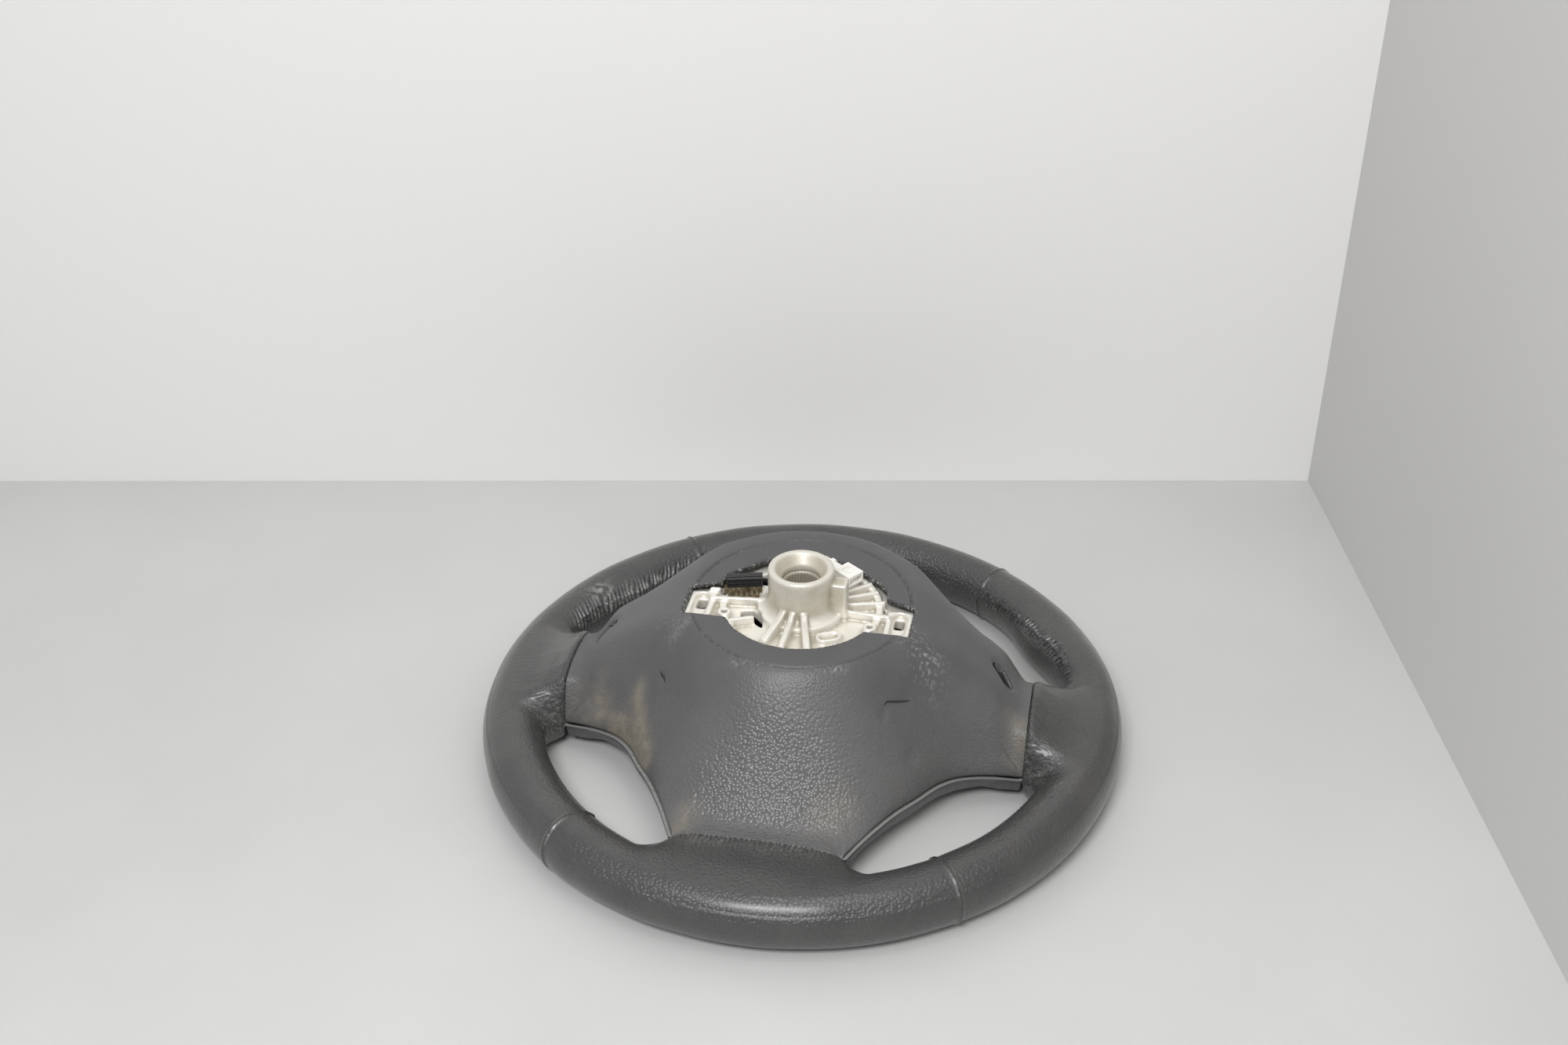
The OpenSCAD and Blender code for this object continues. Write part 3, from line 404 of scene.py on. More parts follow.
def leather_panel(name, first, last, seed):
    """One panel, from one angle to another, with the stitches of its part of the lacing."""
    count = int((last - first) / row_turn) + 1
    angle = np.linspace(first, last, count)
    section = rounded(rim_controls(angle), steps_round)
    r, a, f = section[..., 0], np.radians(angle)[:, None], from_top(angle)
    grid = np.stack([r * np.sin(a), r * np.cos(a), section[..., 1]], -1)
    x, y, z = grid[..., 0], grid[..., 1], grid[..., 2]
    normal = grid_normals(grid, True)
    # Place round the section: 0 is lowest, 4 outermost, 8 on the crest and 12 innermost
    around = np.arange(16 * steps_round)[None, :] / steps_round
    # Distances in millimetres: to the nearer end of the panel, and to the laced seam
    to_end = np.minimum(angle - first, last - angle)[:, None] * math.pi / 180 * r
    lace_phi = np.where(np.sin(a) > 0, np.interp(f, *lace_right), np.interp(f, *lace_left))
    lace_at = (lace_phi + 90) / 22.5
    middle = np.rint(lace_at[:, 0] * steps_round).astype(int)
    to_lace = np.linalg.norm(grid - grid[np.arange(count), middle][:, None], axis=-1)
    to_lace = to_lace * np.where(around > lace_at, 1, -1)
    # The lacing pulls hard from 42 to 96 degrees, and little over the top and below the side spokes
    strong = (0.16 + 0.84 * eased(33, 42, f)) * (1 - 0.85 * eased(96, 108, f))
    at_side = eased(side_from - 8, side_from - 4, f) * (1 - eased(side_to + 4, side_to + 8, f))
    open_rim = 1 - np.maximum(at_side, eased(low_from - 8, low_from - 4, f))
    # The gathers are wide on the left of the rim and narrow on its right
    rightness = np.tanh(x / 25)
    reach = 5.6 - 1.6 * rightness + 0.8 * waves(grid, 16, seed + 9)
    gather = np.exp(-(to_lace / reach) ** 4) * open_rim
    along = a * lace_r + pleat_lean * to_lace
    bulge = np.abs(np.sin(math.pi * along / pleat_pitch + 0.8 * waves(grid, 14, seed)))
    creases = (1.9 * bulge - 1.1) * (0.75 + 0.4 * waves(grid, 9, seed + 1))
    roots = sum(near_point(grid, centre, size) for centre, size in root_folds)
    roots = np.clip(roots, 0, 1) * (r > side_reach - 1)
    ridges = np.abs(np.sin((y + 0.35 * np.abs(x)) * math.pi / 2.1 + 1.7 * waves(grid, 9, seed + 5)))
    # Small pleats beyond the seam at the low spoke, and a ruffled hem along those of the side spokes
    upper = z > 15
    past_seam = low_seam_y - y
    tuck = np.exp(-np.maximum(past_seam, 0) / 6) * (past_seam > -6) * (past_seam < 22)
    tuck = tuck * upper * eased(44, 34, np.abs(x))
    pleats = np.abs(np.sin(x * 1.15 + 1.4 * waves(grid, 8, seed + 7)))
    hem = np.exp(-((np.abs(x) - side_reach) / 3.0) ** 2) * (y < 2) * (y > -44) * upper
    ruffle = np.abs(np.sin(y * 1.4 + 1.2 * waves(grid, 9, seed + 8)))
    lift = 0.2 * waves(grid, 40, seed + 2) * np.clip(to_end / 10, 0, 1)
    lift = lift + 1.1 * strong * gather * creases - 0.4 * np.exp(-(to_lace / 0.9) ** 2) * open_rim
    lift = lift + roots * (0.75 * ridges - 0.5) + 0.9 * tuck * (pleats - 0.7) + 0.4 * hem * (ruffle - 0.8)
    # The outermost band stays inside the rim's diameter, and the lowest one on the floor
    lift = np.minimum(lift, 0.3 + 0.5 * gather + 0.4 * roots) - 0.35 * (np.abs(around - 4) < 1.6)
    lift = lift - 0.9 * np.exp(-(to_end / 0.9) ** 2) + 0.06 * np.exp(-((to_end - 2.6) / 1.2) ** 2)
    low_side = eased(3.5, 0.0, z)
    lift = lift * (1 - low_side) + np.minimum(lift, 0) * low_side
    skin = grid + normal * lift[..., None]
    skin[..., 2] = np.maximum(skin[..., 2], 0.0)
    ends = [row.mean(0) + (row - row.mean(0)) * 0.86 for row in (skin[0], skin[-1])]
    points = np.concatenate([ends[0][None], skin, ends[1][None]])

    # Pale marks: a rubbed spot on the left, and painted highlights on the seams' shoulders, the pleats' crests and
    # the ridges of wrinkles and tucks
    pale = near_point(grid, *rubbed_place) * (waves(grid, 5, 77) > 0.1)
    shoulder = eased(4.6, 5.4, around) * eased(8.5, 7.5, around)
    pale = pale + 0.35 * np.exp(-((to_end - 1.3) / 0.5) ** 2) * shoulder
    wear_and_painted_light = 0.8 * strong * gather * bulge ** 5 * np.clip(0.5 + waves(grid, 12, seed + 4), 0, 1)
    pale = pale + wear_and_painted_light * (1 - 0.4 * rightness) + 0.4 * roots * ridges ** 4 + 0.8 * tuck * pleats ** 4
    # Marks for the shader: folds, a rubbed spot with painted highlights, and painted shade in the pleats' folds and
    # the seams' grooves
    marks = {
        "fold": 0.6 * roots + 0.4 * strong * gather + 0.7 * tuck + 0.6 * hem,
        "rubbed_and_highlit": pale,
        "crease_and_seam_shade": strong * gather * (1 - bulge) ** 2 * 1.3 + 0.7 * np.exp(-(to_end / 0.45) ** 2)}
    for key, values in marks.items():
        values = np.clip(values, 0, 1)
        marks[key] = np.concatenate([values[:1], values, values[-1:]])
    faces = grid_faces(len(points), points.shape[1], True)
    made = piece(name + "_skin", points.reshape(-1, 3), faces, hide, marks)
    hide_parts(name)

    # Lacing thread over the long seam, one stitch to every second pleat
    step = 2 * pleat_pitch / (lace_r * math.pi / 180) / (angle[1] - angle[0])
    s = step
    while s < count - step:
        row = int(s)
        if open_rim[row, 0] > 0.9 and strong[row, 0] > 0.3:
            p = skin[int(round(s)), (middle[row] - stitch_half) % skin.shape[1]]
            q = skin[int(round(s + step * 0.4)), (middle[row] + stitch_half) % skin.shape[1]]
            out = normal[row, middle[row]]
            across = np.cross(q - p, out)
            across /= np.linalg.norm(across)
            first_point = len(thread_points)
            for t in np.linspace(0, 1, 7):
                arch = math.sin(math.pi * t)
                centre = p + (q - p) * t + out * (0.7 * strong[row, 0] * arch - 0.15)
                thick = thread_half * (0.55 + 0.45 * arch)
                for turn in (k * math.pi / 3 for k in range(6)):
                    thread_points.append(centre + thick * (math.cos(turn) * across + math.sin(turn) * out))
            thread_faces.extend(grid_faces(7, 6, True, first_point).tolist())
        s += step


leather_panel("leather_top", -seam_upper, seam_upper, 11)
leather_panel("leather_right", seam_upper, seam_lower, 23)
leather_panel("leather_left", 360 - seam_lower, 360 - seam_upper, 31)
leather_panel("leather_bottom", seam_lower, 360 - seam_lower, 47)

cotton, tree, shader = paint("lacing_thread", tone(80, 79, 76), 0.75)
where = place(tree)
strand = add(tree, "TexWave", {"Vector": where, "Scale": 900, "Distortion": 2.0}).outputs["Fac"]
base = mix(tree, strand, tone(46, 45, 44), tone(84, 83, 80))
base = blotched(tree, noise(tree, where, 0.012, 3), 0.45, 0.62, base, tone(136, 132, 124))
lay_on(tree, shader, base, bumps=relief(tree, strand, 0.0001))
lacing = piece("rim_lacing", thread_points, thread_faces, cotton)

# Foam under the leather: dark moulded polyurethane, cast round the armature's ring.
# It shows only where the leather's ends open towards the hub.
foam, tree, shader = paint("rim_foam", tone(46, 46, 47), 0.9)
lay_on(tree, shader, bumps=relief(tree, pits(tree, place(tree), 1500), 0.0003))


def dress(node, material):
    """Gives a CAD node that stays in view its own material."""
    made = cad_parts[node]
    made.data.materials.clear()
    made.data.materials.append(material)
    return made


dress("rim_foam", foam)

# Rear cover: one moulding in grained soft plastic, 3 mm thick. A flat crown with a pressed ring
# surrounds the window for the hub, and the skirt rolls over into the four spokes.
crown_high, crown_wide, wall = 96.0, 64.0, 3.0
cover_side, cover_low = 134.6, -129.6
bell_foot, ridge_foot, top_foot = 28, 49, 24
ring_r = 63.2
mirror = np.array([-1, 1, 1])


def curve_through(points, steps):
    """A smooth curve through the points, up to but without the last."""
    p = np.array(points, float)
    q = np.concatenate([p[:1], p, p[-1:]])
    t = (np.arange(steps) / steps)[:, None]
    return np.concatenate([spline(*q[i:i + 4], t) for i in range(len(p) - 1)])


upper_edge = [
    [0, 84, 24], [31, 79, 24], [60, 61, 24], [80, 47, 24], [100, 36.5, 24], [118, 29.5, 24],
    [cover_side, 24.5, 23]]
opening_edge = [
    [cover_side, -40, 18.5], [120, -44, 21], [107, -49, 23], [97, -55, 24.5], [88, -64, 25.5],
    [79, -77, 26], [69, -90, 26], [59, -106, 25.5], [52, -119, 25], [46.5, cover_low, 24]]
side_y = np.linspace(24.5, -39, 44)
low_x = np.linspace(46.5, 1.2, 30)
half_edge = np.concatenate([
    curve_through(upper_edge, 11),
    np.stack([0 * side_y + cover_side, side_y, even(side_line, side_y, 1.2) - 0.3], -1),
    curve_through(opening_edge, 8),
    np.stack([low_x, 0 * low_x + cover_low, even(low_line, low_x, 1.0) - 0.3], -1),
    [[0, cover_low, 29.2]]])
edge = np.concatenate([half_edge, half_edge[-2:0:-1] * mirror])
edge_way = np.arctan2(edge[:, 0], edge[:, 1])
edge_way[len(half_edge):] += 2 * math.pi
edge_r = np.hypot(edge[:, 0], edge[:, 1])


def on_edge(way, values):
    """The value in a direction from the axis, out of the values along the cover's edge."""
    return np.interp(way, edge_way, values, period=2 * math.pi)


# Along the leather of the spokes the cover ends flush, along the openings it rolls over
by_leather = 1.0 * ((np.abs(edge[:, 0]) > 134) | (edge[:, 1] < -129))
edge_flush = even(lambda way: on_edge(way, by_leather), edge_way, 0.03)


def cover_height(x, y):
    """Height of the cover's outer face over a point of the plan."""
    r = np.hypot(x, y)
    way = np.mod(np.arctan2(x, y), 2 * math.pi)
    out, rim_z, flush = (on_edge(way, values) for values in (edge_r, edge[:, 2], edge_flush))
    s = np.clip((r - crown_wide) / (out - crown_wide), 0, 1)
    t = np.clip((r - crown_wide) / (low_reach - crown_wide), 0, 1)
    bell = bell_foot + (crown_high - bell_foot) * (1 - t ** 1.4) ** 2.15
    t = np.clip((np.abs(x) - crown_wide) / (side_reach - crown_wide), 0, 1)
    ridge = ridge_foot + (crown_high - ridge_foot) * (1 - t ** 1.2)
    share = np.exp(-((y + 6) / np.where(y > -6, 48.0, 30.0)) ** 4)
    # The larger of bell and ridge, eased over a few millimetres
    soft = 1.5 * np.logaddexp(bell / 1.5, ridge / 1.5) - 1.5 * math.log(2) * np.exp(-np.abs(bell - ridge) / 3)
    form = bell + (soft - bell) * share
    far = 1 - eased(46, 80, np.degrees(np.arctan2(np.abs(x), y)))
    form = form + (top_foot + (crown_high - top_foot) * np.sqrt(np.maximum(0, 1 - s ** 6)) - form) * far
    form = form + (rim_z - form) * eased(0.72, 1, s) * flush
    return np.minimum(rim_z + (form - rim_z) * np.maximum(0, 1 - s ** (9 + 30 * flush)) ** 0.6, crown_high)


window_r, slot_wide, slot_up, slot_low = 46.0, 65.5, 5.0, 23.0


def window_radius(way):
    """Where a ray from the axis meets the window: a round, a slot across it and chamfered corners."""
    x, y = np.sin(way), np.cos(way)
    to_side = slot_wide / np.maximum(np.abs(x), 1e-6)
    to_length = np.where(y > 0, slot_up, slot_low) / np.maximum(np.abs(y), 1e-6)
    chamfer = np.array([[38, 28], [42.5, 23.5], [47, 17], [48, 10.5], [52, 8.5], [62, 5]])
    notch = np.interp(np.arctan2(np.abs(x), y), np.arctan2(*chamfer.T), np.hypot(*chamfer.T), left=0, right=0)
    return np.maximum(np.maximum(window_r, np.minimum(to_side, to_length)), notch)


# The skin's grid runs along rays, from the window over the pressed ring to the cover's edge.
# The window is cut a little unevenly
window_edge = even(window_radius, edge_way, 0.012) + 0.175 * np.sin(edge_way * 47) * np.sin(edge_way * 31)
ring_from = np.maximum(60.8, window_edge + 1.0)
ring_to = np.maximum(65.2, ring_from + 1.4)
radius = np.concatenate([start[:, None] + (end - start)[:, None] * t for start, end, t in (
    (window_edge, ring_from, np.linspace(0, 1, 9)[:-1] ** 1.3),
    (ring_from, ring_to, np.linspace(0, 1, 12)[:-1]),
    (ring_to, edge_r, 1 - (1 - np.linspace(0, 1, 78)) ** 1.25))], 1)
plan_x, plan_y = radius * np.sin(edge_way)[:, None], radius * np.cos(edge_way)[:, None]

# Release holes: two round-ended slots, one in each side spoke
hole_x, hole_y, hole_r, hole_long = 118.0, -1.0, 3.5, 3.0
hole_cos, hole_sin = math.cos(math.radians(40)), math.sin(math.radians(40))


def at_hole(x, y):
    """Place along and across the nearer hole."""
    side = np.sign(x)
    dx, dy = x - side * hole_x, y - hole_y
    return dx * hole_cos - dy * side * hole_sin, dx * side * hole_sin + dy * hole_cos


def from_hole(side, along, across):
    """The point of the plan at a place along and across the hole on a side."""
    return (side * hole_x + along * hole_cos + across * side * hole_sin,
            hole_y - along * side * hole_sin + across * hole_cos)


def hole_distance(x, y):
    along, across = at_hole(x, y)
    return np.hypot(np.maximum(np.abs(along) - hole_long, 0), across) - hole_r


columns = radius.shape[1]
gone = hole_distance(plan_x, plan_y) < 0
cell_gone = gone[:, :-1] & gone[:, 1:] & np.roll(gone, -1, 0)[:, :-1] & np.roll(gone, -1, 0)[:, 1:]
cell_gone = cell_gone.reshape(-1)
cells = grid_faces(len(edge_way) + 1, columns, False) % (len(edge_way) * columns)
kept = cells[~cell_gone]
# Corners of the cells round each hole move onto its outline
brim = np.intersect1d(kept, cells[cell_gone])
flat_x, flat_y = plan_x.ravel().copy(), plan_y.ravel().copy()
along, across = at_hole(flat_x[brim], flat_y[brim])
core = np.clip(along, -hole_long, hole_long)
reach = hole_r / np.maximum(np.hypot(along - core, across), 1e-6)
flat_x[brim], flat_y[brim] = from_hole(np.sign(flat_x[brim]), core + (along - core) * reach, across * reach)
plan_x, plan_y = flat_x.reshape(plan_x.shape), flat_y.reshape(plan_y.shape)

height = cover_height(plan_x, plan_y)
plan_r = np.hypot(plan_x, plan_y)
crown = np.stack([plan_x, plan_y, height], -1)
normal = grid_normals(np.concatenate([crown[-1:], crown, crown[:1]]), False)[1:-1]
to_window = plan_r - window_edge[:, None]
# The pressed ring stops where the window's slot crosses it
ringed = np.abs(plan_y + 9) > 16


def near_line(a, b, reach):
    """Closeness on the cover, 1 on the line from a to b in the plan and 0 beyond reach."""
    a, b = np.array(a, float), np.array(b, float)
    p = crown[..., :2] - a
    t = np.clip((p @ (b - a)) / np.dot(b - a, b - a), 0, 1)
    return np.exp(-(np.linalg.norm(p - t[..., None] * (b - a), axis=-1) / reach) ** 2)


def strokes(*lines):
    """Marks along lines on the cover, each with how much it marks, its two ends and its reach."""
    return sum(much * near_line(a, b, reach) for much, a, b, reach in lines)


worn_line = near_line((-26, -63), (34, -58), 3.2) * np.exp(-((plan_r - 66.3) / 2.4) ** 2)
lift = -1.1 * np.exp(-((plan_r - ring_r) / 0.8) ** 2) * ringed - 0.6 * np.exp(-(to_window / 0.8) ** 2)
lift = lift - 1.3 * np.exp(-(hole_distance(plan_x, plan_y) / 1.8) ** 2)
skirt = eased(64, 80, plan_r) * (1 - eased(0.9, 1.0, plan_r / edge_r[:, None]))
lift = lift + 0.25 * waves(crown, 55, 5) * skirt
lift = lift + 0.35 * worn_line * waves(crown, 3.2, 8) - 0.25 * worn_line
lift = lift - strokes(
    (0.8, (57, -63.5), (58, -62), 2.2), (0.9, (74, -67.5), (75, -66), 2.6),
    (0.6, (-72, -47), (-69, -52), 1.6), (0.7, (59, -58), (69, -49), 1.5))
lift = np.minimum(lift, 0.2 * eased(0, 12, crown_high - height))
outer = crown + normal * lift[..., None]
outer[..., 2] = np.minimum(outer[..., 2], crown_high)
under = crown - normal * wall
points = np.concatenate([outer.reshape(-1, 3), under.reshape(-1, 3)])

# Edges that one face alone has are borders, where a wall joins the outer skin to the inner one
count = len(edge_way) * columns
edges = np.concatenate([kept[:, [0, 1]], kept[:, [1, 2]], kept[:, [2, 3]], kept[:, [3, 0]]])
_, first_seen, uses = np.unique(np.sort(edges, 1), axis=0, return_index=True, return_counts=True)
start, end = edges[first_seen[uses == 1]].T
walls = np.stack([end, start, start + count, end + count], -1)
faces = np.concatenate([kept, kept[:, ::-1] + count, walls])

stain = strokes(
    (0.75 * (0.7 + 0.4 * waves(crown, 12, 61)), (-113, -39), (-97, -54), 6),
    (0.9, (-97, -54), (-76, -80), 5),
    (0.9, (-87, -46), (-76, -80), 4.5),
    (0.3 * (0.6 + 0.5 * waves(crown, 8, 62)), (-127, -36), (-118, -44), 8),
    (0.55, (-41, -115), (-43, -124), 7),
    (0.35, (33, -111), (43, -103), 7),
    (0.5, (129, -26), (131, -36), 6))
scuff = worn_line * (waves(crown, 2.2, 91) > 0.2) + strokes(
    (waves(crown, 2.6, 90) > 0.35, (64, -20), (77, -30), 9),
    (0.4, (-60, -30), (-66, -36), 4),
    (0.5 * (waves(crown, 2.4, 93) > 0.5), (-70, -30), (-76, -24), 5))
# Stains, scuffs, the coarse grain with its painted highlight, painted shade and highlight at the window's edge and
# the ring, and the crown's painted shade
marks = {
    "stain": np.clip(stain, 0, 1),
    "scuff": np.clip(scuff, 0, 1),
    "coarse_grain_and_highlight": np.exp(-((crown[..., 0] - 2) / 60) ** 2 - ((crown[..., 1] + 104) / 30) ** 2),
    "edge_shade_and_glint": np.exp(-(to_window / 1.1) ** 2) + 0.45 * np.exp(-((plan_r - ring_r) / 0.5) ** 2) * ringed,
    "flat": 1 - eased(62, 72, plan_r)}
marks = {key: np.concatenate([values.ravel(), values.ravel()]) for key, values in marks.items()}

moulded, tree, shader = paint("cover_plastic", tone(104, 104, 104), 0.45)
where = place(tree)
stain, scuff, coarse_grain_and_highlight, edge_shade_and_glint, flat = (mark(tree, key) for key in marks)
patch = noise(tree, where, 0.06, 4)
fine = noise(tree, where, 0.0022, 4, 0.7)
base = blotched(tree, patch, 0.3, 0.7, tone(82, 82, 84), tone(98, 97, 96))
# Painted shade on the crown inside the pressed ring, which is also a little rougher and without grain
base = mix(tree, times(tree, flat, 0.7), base, tone(82, 82, 84))
# Painted highlight low in the middle of the cover, where the grain is also coarse and glossier
base = mix(tree, times(tree, coarse_grain_and_highlight, 0.7), base, tone(112, 111, 110))
cloudy = levels(tree, noise(tree, where, 0.008, 5, 0.65), 0.38, 0.62)
# Stains and scuffs, then painted shade along the window's cut edge and in the pressed ring's groove, and painted
# speckled highlights along both
for wear_and_painted_light, share, colour in (
        (stain, levels(tree, cloudy, 0, 1, 0.5, 0.95), tone(140, 133, 119)),
        (scuff, levels(tree, fine, 0.4, 0.6, 0.0, 0.8), tone(158, 156, 152)),
        (edge_shade_and_glint, levels(tree, fine, 0.42, 0.58, 0.3, 1.0), tone(40, 39, 39)),
        (edge_shade_and_glint, levels(tree, noise(tree, where, 0.0016, 2), 0.56, 0.62), tone(165, 163, 158))):
    base = mix(tree, times(tree, wear_and_painted_light, share), base, colour)
shine = sums(tree, "ADD", patch, times(tree, flat, 0.15))
shine = sums(tree, "SUBTRACT", shine, times(tree, coarse_grain_and_highlight, 0.6))
bumped = relief(tree, noise(tree, where, 0.012, 3), 0.0008, strength=0.3)
rough_grain = pebbles(tree, where, 0.0019, 0.0006, bumped)
fine_grain = pebbles(tree, where, 0.0013, 0.0002, bumped)
grain = mix(tree, levels(tree, coarse_grain_and_highlight, 0.15, 0.75), fine_grain, rough_grain, "VECTOR")
lay_on(tree, shader, base, levels(tree, shine, 0.0, 0.7, 0.27, 0.48),
       mix(tree, times(tree, flat, 0.6), grain, bumped, "VECTOR"))
cover = piece("rear_cover_moulding", points, faces, moulded, marks)
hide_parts("rear_cover")

# Sleeves of the two release holes, moulded with the cover: short tapered tubes that guide a tool
# to the airbag's clips, seen as dark grey walls inside the slots.
for side in (-1, 1):
    turn = np.linspace(0, 2 * math.pi, 48, endpoint=False)
    rows = []
    for deep, share in ((1.2, 1.0), (2.0, 0.97), (5.0, 0.86), (9.0, 0.72), (9.0, 0.85), (3.4, 1.08)):
        along = share * (hole_r * np.cos(turn) + hole_long * np.sign(np.cos(turn)))
        x, y = from_hole(side, along, share * hole_r * np.sin(turn))
        rows.append(np.stack([x, y, cover_height(x, y) - deep], -1))
    sleeve = piece("release_sleeve_" + ("left" if side < 0 else "right"), np.concatenate(rows),
                   grid_faces(len(rows), len(turn), True), moulded)

# Two small cuts in the cover, a straight nick and a crescent tear, with dark open middles.
# Each is a sliver lying just over the skin, as wide as the cut is open, painted with the shade inside the cut.
cut_shade_paint, tree, shader = paint("open_cut_shade", tone(36, 35, 34), 0.9)
lay_on(tree, shader, mix(tree, noise(tree, place(tree), 0.0008), tone(28, 27, 27), tone(58, 55, 52)))


def cut(name, path, wide):
    way = np.concatenate([curve_through(path, 8), path[-1:]])
    along = np.gradient(way, axis=0)
    across = np.stack([-along[:, 1], along[:, 0]], -1)
    across /= np.linalg.norm(across, axis=-1, keepdims=True)
    half = wide / 2 * np.sin(np.linspace(0, math.pi, len(way))) ** 0.7
    rows = []
    for side in (-1, 0, 1):
        x, y = way[:, 0] + side * half * across[:, 0], way[:, 1] + side * half * across[:, 1]
        rows.append(np.stack([x, y, cover_height(x, y) - 0.35 + 0.12 * (side == 0)], -1))
    made = piece(name, np.stack(rows, 1).reshape(-1, 3), grid_faces(len(way), 3, False), cut_shade_paint)


cut("cover_nick", [(-73, -45.5), (-71.5, -48), (-69.5, -50.5), (-68.2, -53.5)], 0.6)
cut("cover_tear", [(56.5, -61), (58.5, -57), (62.5, -54), (67, -50.5), (70.5, -47.5)], 0.7)

# Front bezel: a tray moulded in dark plastic, screwed to the cover and the lower arms.
# Its wall stands a little proud of the cover's edge and shows as a satin strip along the openings.
lip_half = np.concatenate([
    curve_through(upper_edge, 11), upper_edge[-1:], curve_through(opening_edge, 8), opening_edge[-1:]])
lip = np.concatenate([lip_half, lip_half[-1:0:-1] * mirror])


def grown(out):
    """The lip moved outwards in the plan, or inwards along the rays to the axis."""
    plan = lip[:, :2]
    sides = []
    for run in (plan - np.roll(plan, 1, 0), np.roll(plan, -1, 0) - plan):
        sides.append(np.stack([-run[:, 1], run[:, 0]], -1) / np.linalg.norm(run, axis=1, keepdims=True))
    u, v = sides
    way = (u + v) / (1 + np.sum(u * v, 1, keepdims=True))
    if out < 0:
        ray = plan / np.linalg.norm(plan, axis=1, keepdims=True)
        way = ray / np.maximum(np.sum(way * ray, 1, keepdims=True), 0.6)
        # Less at the spokes' ends, where the bezel meets leather
        out = out * (1 - 0.7 * np.maximum(eased(118, 131, np.abs(plan[:, :1])), eased(-112, -126, plan[:, 1:])))
    moved = plan + out * way
    moved[:, 0] = np.clip(moved[:, 0], -cover_side, cover_side)
    moved[:, 1] = np.maximum(moved[:, 1], cover_low)
    return moved


def tray(name, path, gap, material):
    """A closed lofted solid through levels of height and growth, kept under the cover's edge."""
    path = np.array(path, float)
    low, high = path[0, 0], path[-1, 0]
    knee = low + 6.5
    follow = (lip[:, 2] - gap - knee) / (high - knee)
    n = len(lip)
    rings = []
    for level, growth in np.concatenate([curve_through(path, 4), path[-1:]]):
        stretch = follow if level > knee else np.ones(n)
        rings.append(np.column_stack([grown(growth), knee + (level - knee) * stretch]))
    points = np.concatenate(rings + [[[0, 0, low], [0, 0, high]]])
    end = len(points) - 2
    faces = grid_faces(len(rings), n, True)[:, ::-1].tolist()
    faces += [[end, i, (i + 1) % n] for i in range(n)]
    faces += [[end + 1, end - n + (i + 1) % n, end - n + i] for i in range(n)]
    return stand(name, mesh_of(name, (points * mm).tolist(), faces, material))


def stand_built(name, build):
    """A new object from a bmesh, which is then given up."""
    mesh = bpy.data.meshes.new(name)
    build.to_mesh(mesh)
    build.free()
    return stand(name, mesh)


def turned_block(name, radius, low, high, at=(0, 0), sides=96):
    build = bmesh.new()
    middle = Matrix.Translation((at[0] * mm, at[1] * mm, (low + high) * 0.5 * mm))
    bmesh.ops.create_cone(build, cap_ends=True, segments=sides, radius1=radius * mm, radius2=radius * mm,
                          depth=(high - low) * mm, matrix=middle)
    return stand_built(name, build)


def slab(name, outline, low, high):
    """An upright solid over an outline in the plan."""
    n = len(outline)
    points = [(x * mm, y * mm, z * mm) for z in (low, high) for x, y in outline]
    sides = [[i, (i + 1) % n, n + (i + 1) % n, n + i] for i in range(n)]
    return stand(name, mesh_of(name, points, sides + [list(range(n - 1, -1, -1)), list(range(n, 2 * n))]))


def rounded_block(name, wide, tall, corner, low, high, at):
    ring = []
    for right, up, start in ((1, 1, 0), (-1, 1, 90), (-1, -1, 180), (1, -1, 270)):
        for turn in np.radians(start + np.linspace(0, 90, 9)):
            ring.append((at[0] + right * (wide / 2 - corner) + corner * math.cos(turn),
                         at[1] + up * (tall / 2 - corner) + corner * math.sin(turn)))
    return slab(name, ring, low, high)


def settle(thing):
    """Applies every modifier of a piece to its mesh."""
    bpy.context.view_layer.update()
    made = bpy.data.meshes.new_from_object(thing.evaluated_get(bpy.context.evaluated_depsgraph_get()))
    thing.modifiers.clear()
    thing.data = made


def carve(base, operation, *tools):
    """Cuts a piece with tools or joins them to it, and uses them up."""
    for tool in tools:
        step = base.modifiers.new(operation, "BOOLEAN")
        step.operation = operation
        step.solver = "EXACT"
        step.object = tool
    settle(base)
    for tool in tools:
        bpy.data.objects.remove(tool)


def weld(thing):
    thing.modifiers.new("weld", "WELD").merge_threshold = 0.000002


def soften(thing, wide, angle=35):
    """Rounds the sharp edges of a moulding, width in millimetres."""
    weld(thing)
    rounding = thing.modifiers.new("rounding", "BEVEL")
    rounding.width = wide * mm
    rounding.segments = 2
    rounding.limit_method = "ANGLE"
    rounding.angle_limit = math.radians(angle)
    rounding.use_clamp_overlap = True
    rounding.harden_normals = True


def z_of(tree, vector):
    return add(tree, "SeparateXYZ", {0: vector}).outputs["Z"]


trim, tree, shader = paint("trim_plastic", tone(52, 52, 54), 0.42)
where = place(tree)
base = blotched(tree, noise(tree, where, 0.03, 4), 0.35, 0.65, tone(80, 80, 81), tone(94, 94, 94))
# Painted highlight on faces turned upwards, such as the bezel's ledge along the openings
upward_highlight = z_of(tree, add(tree, "NewGeometry").outputs["Normal"])
lay_on(tree, shader, blotched(tree, upward_highlight, 0.3, 0.8, base, tone(132, 132, 130)),
       levels(tree, noise(tree, where, 0.004, 4), 0.3, 0.7, 0.36, 0.5),
       relief(tree, pits(tree, where, 1300), 0.00012, strength=0.5))

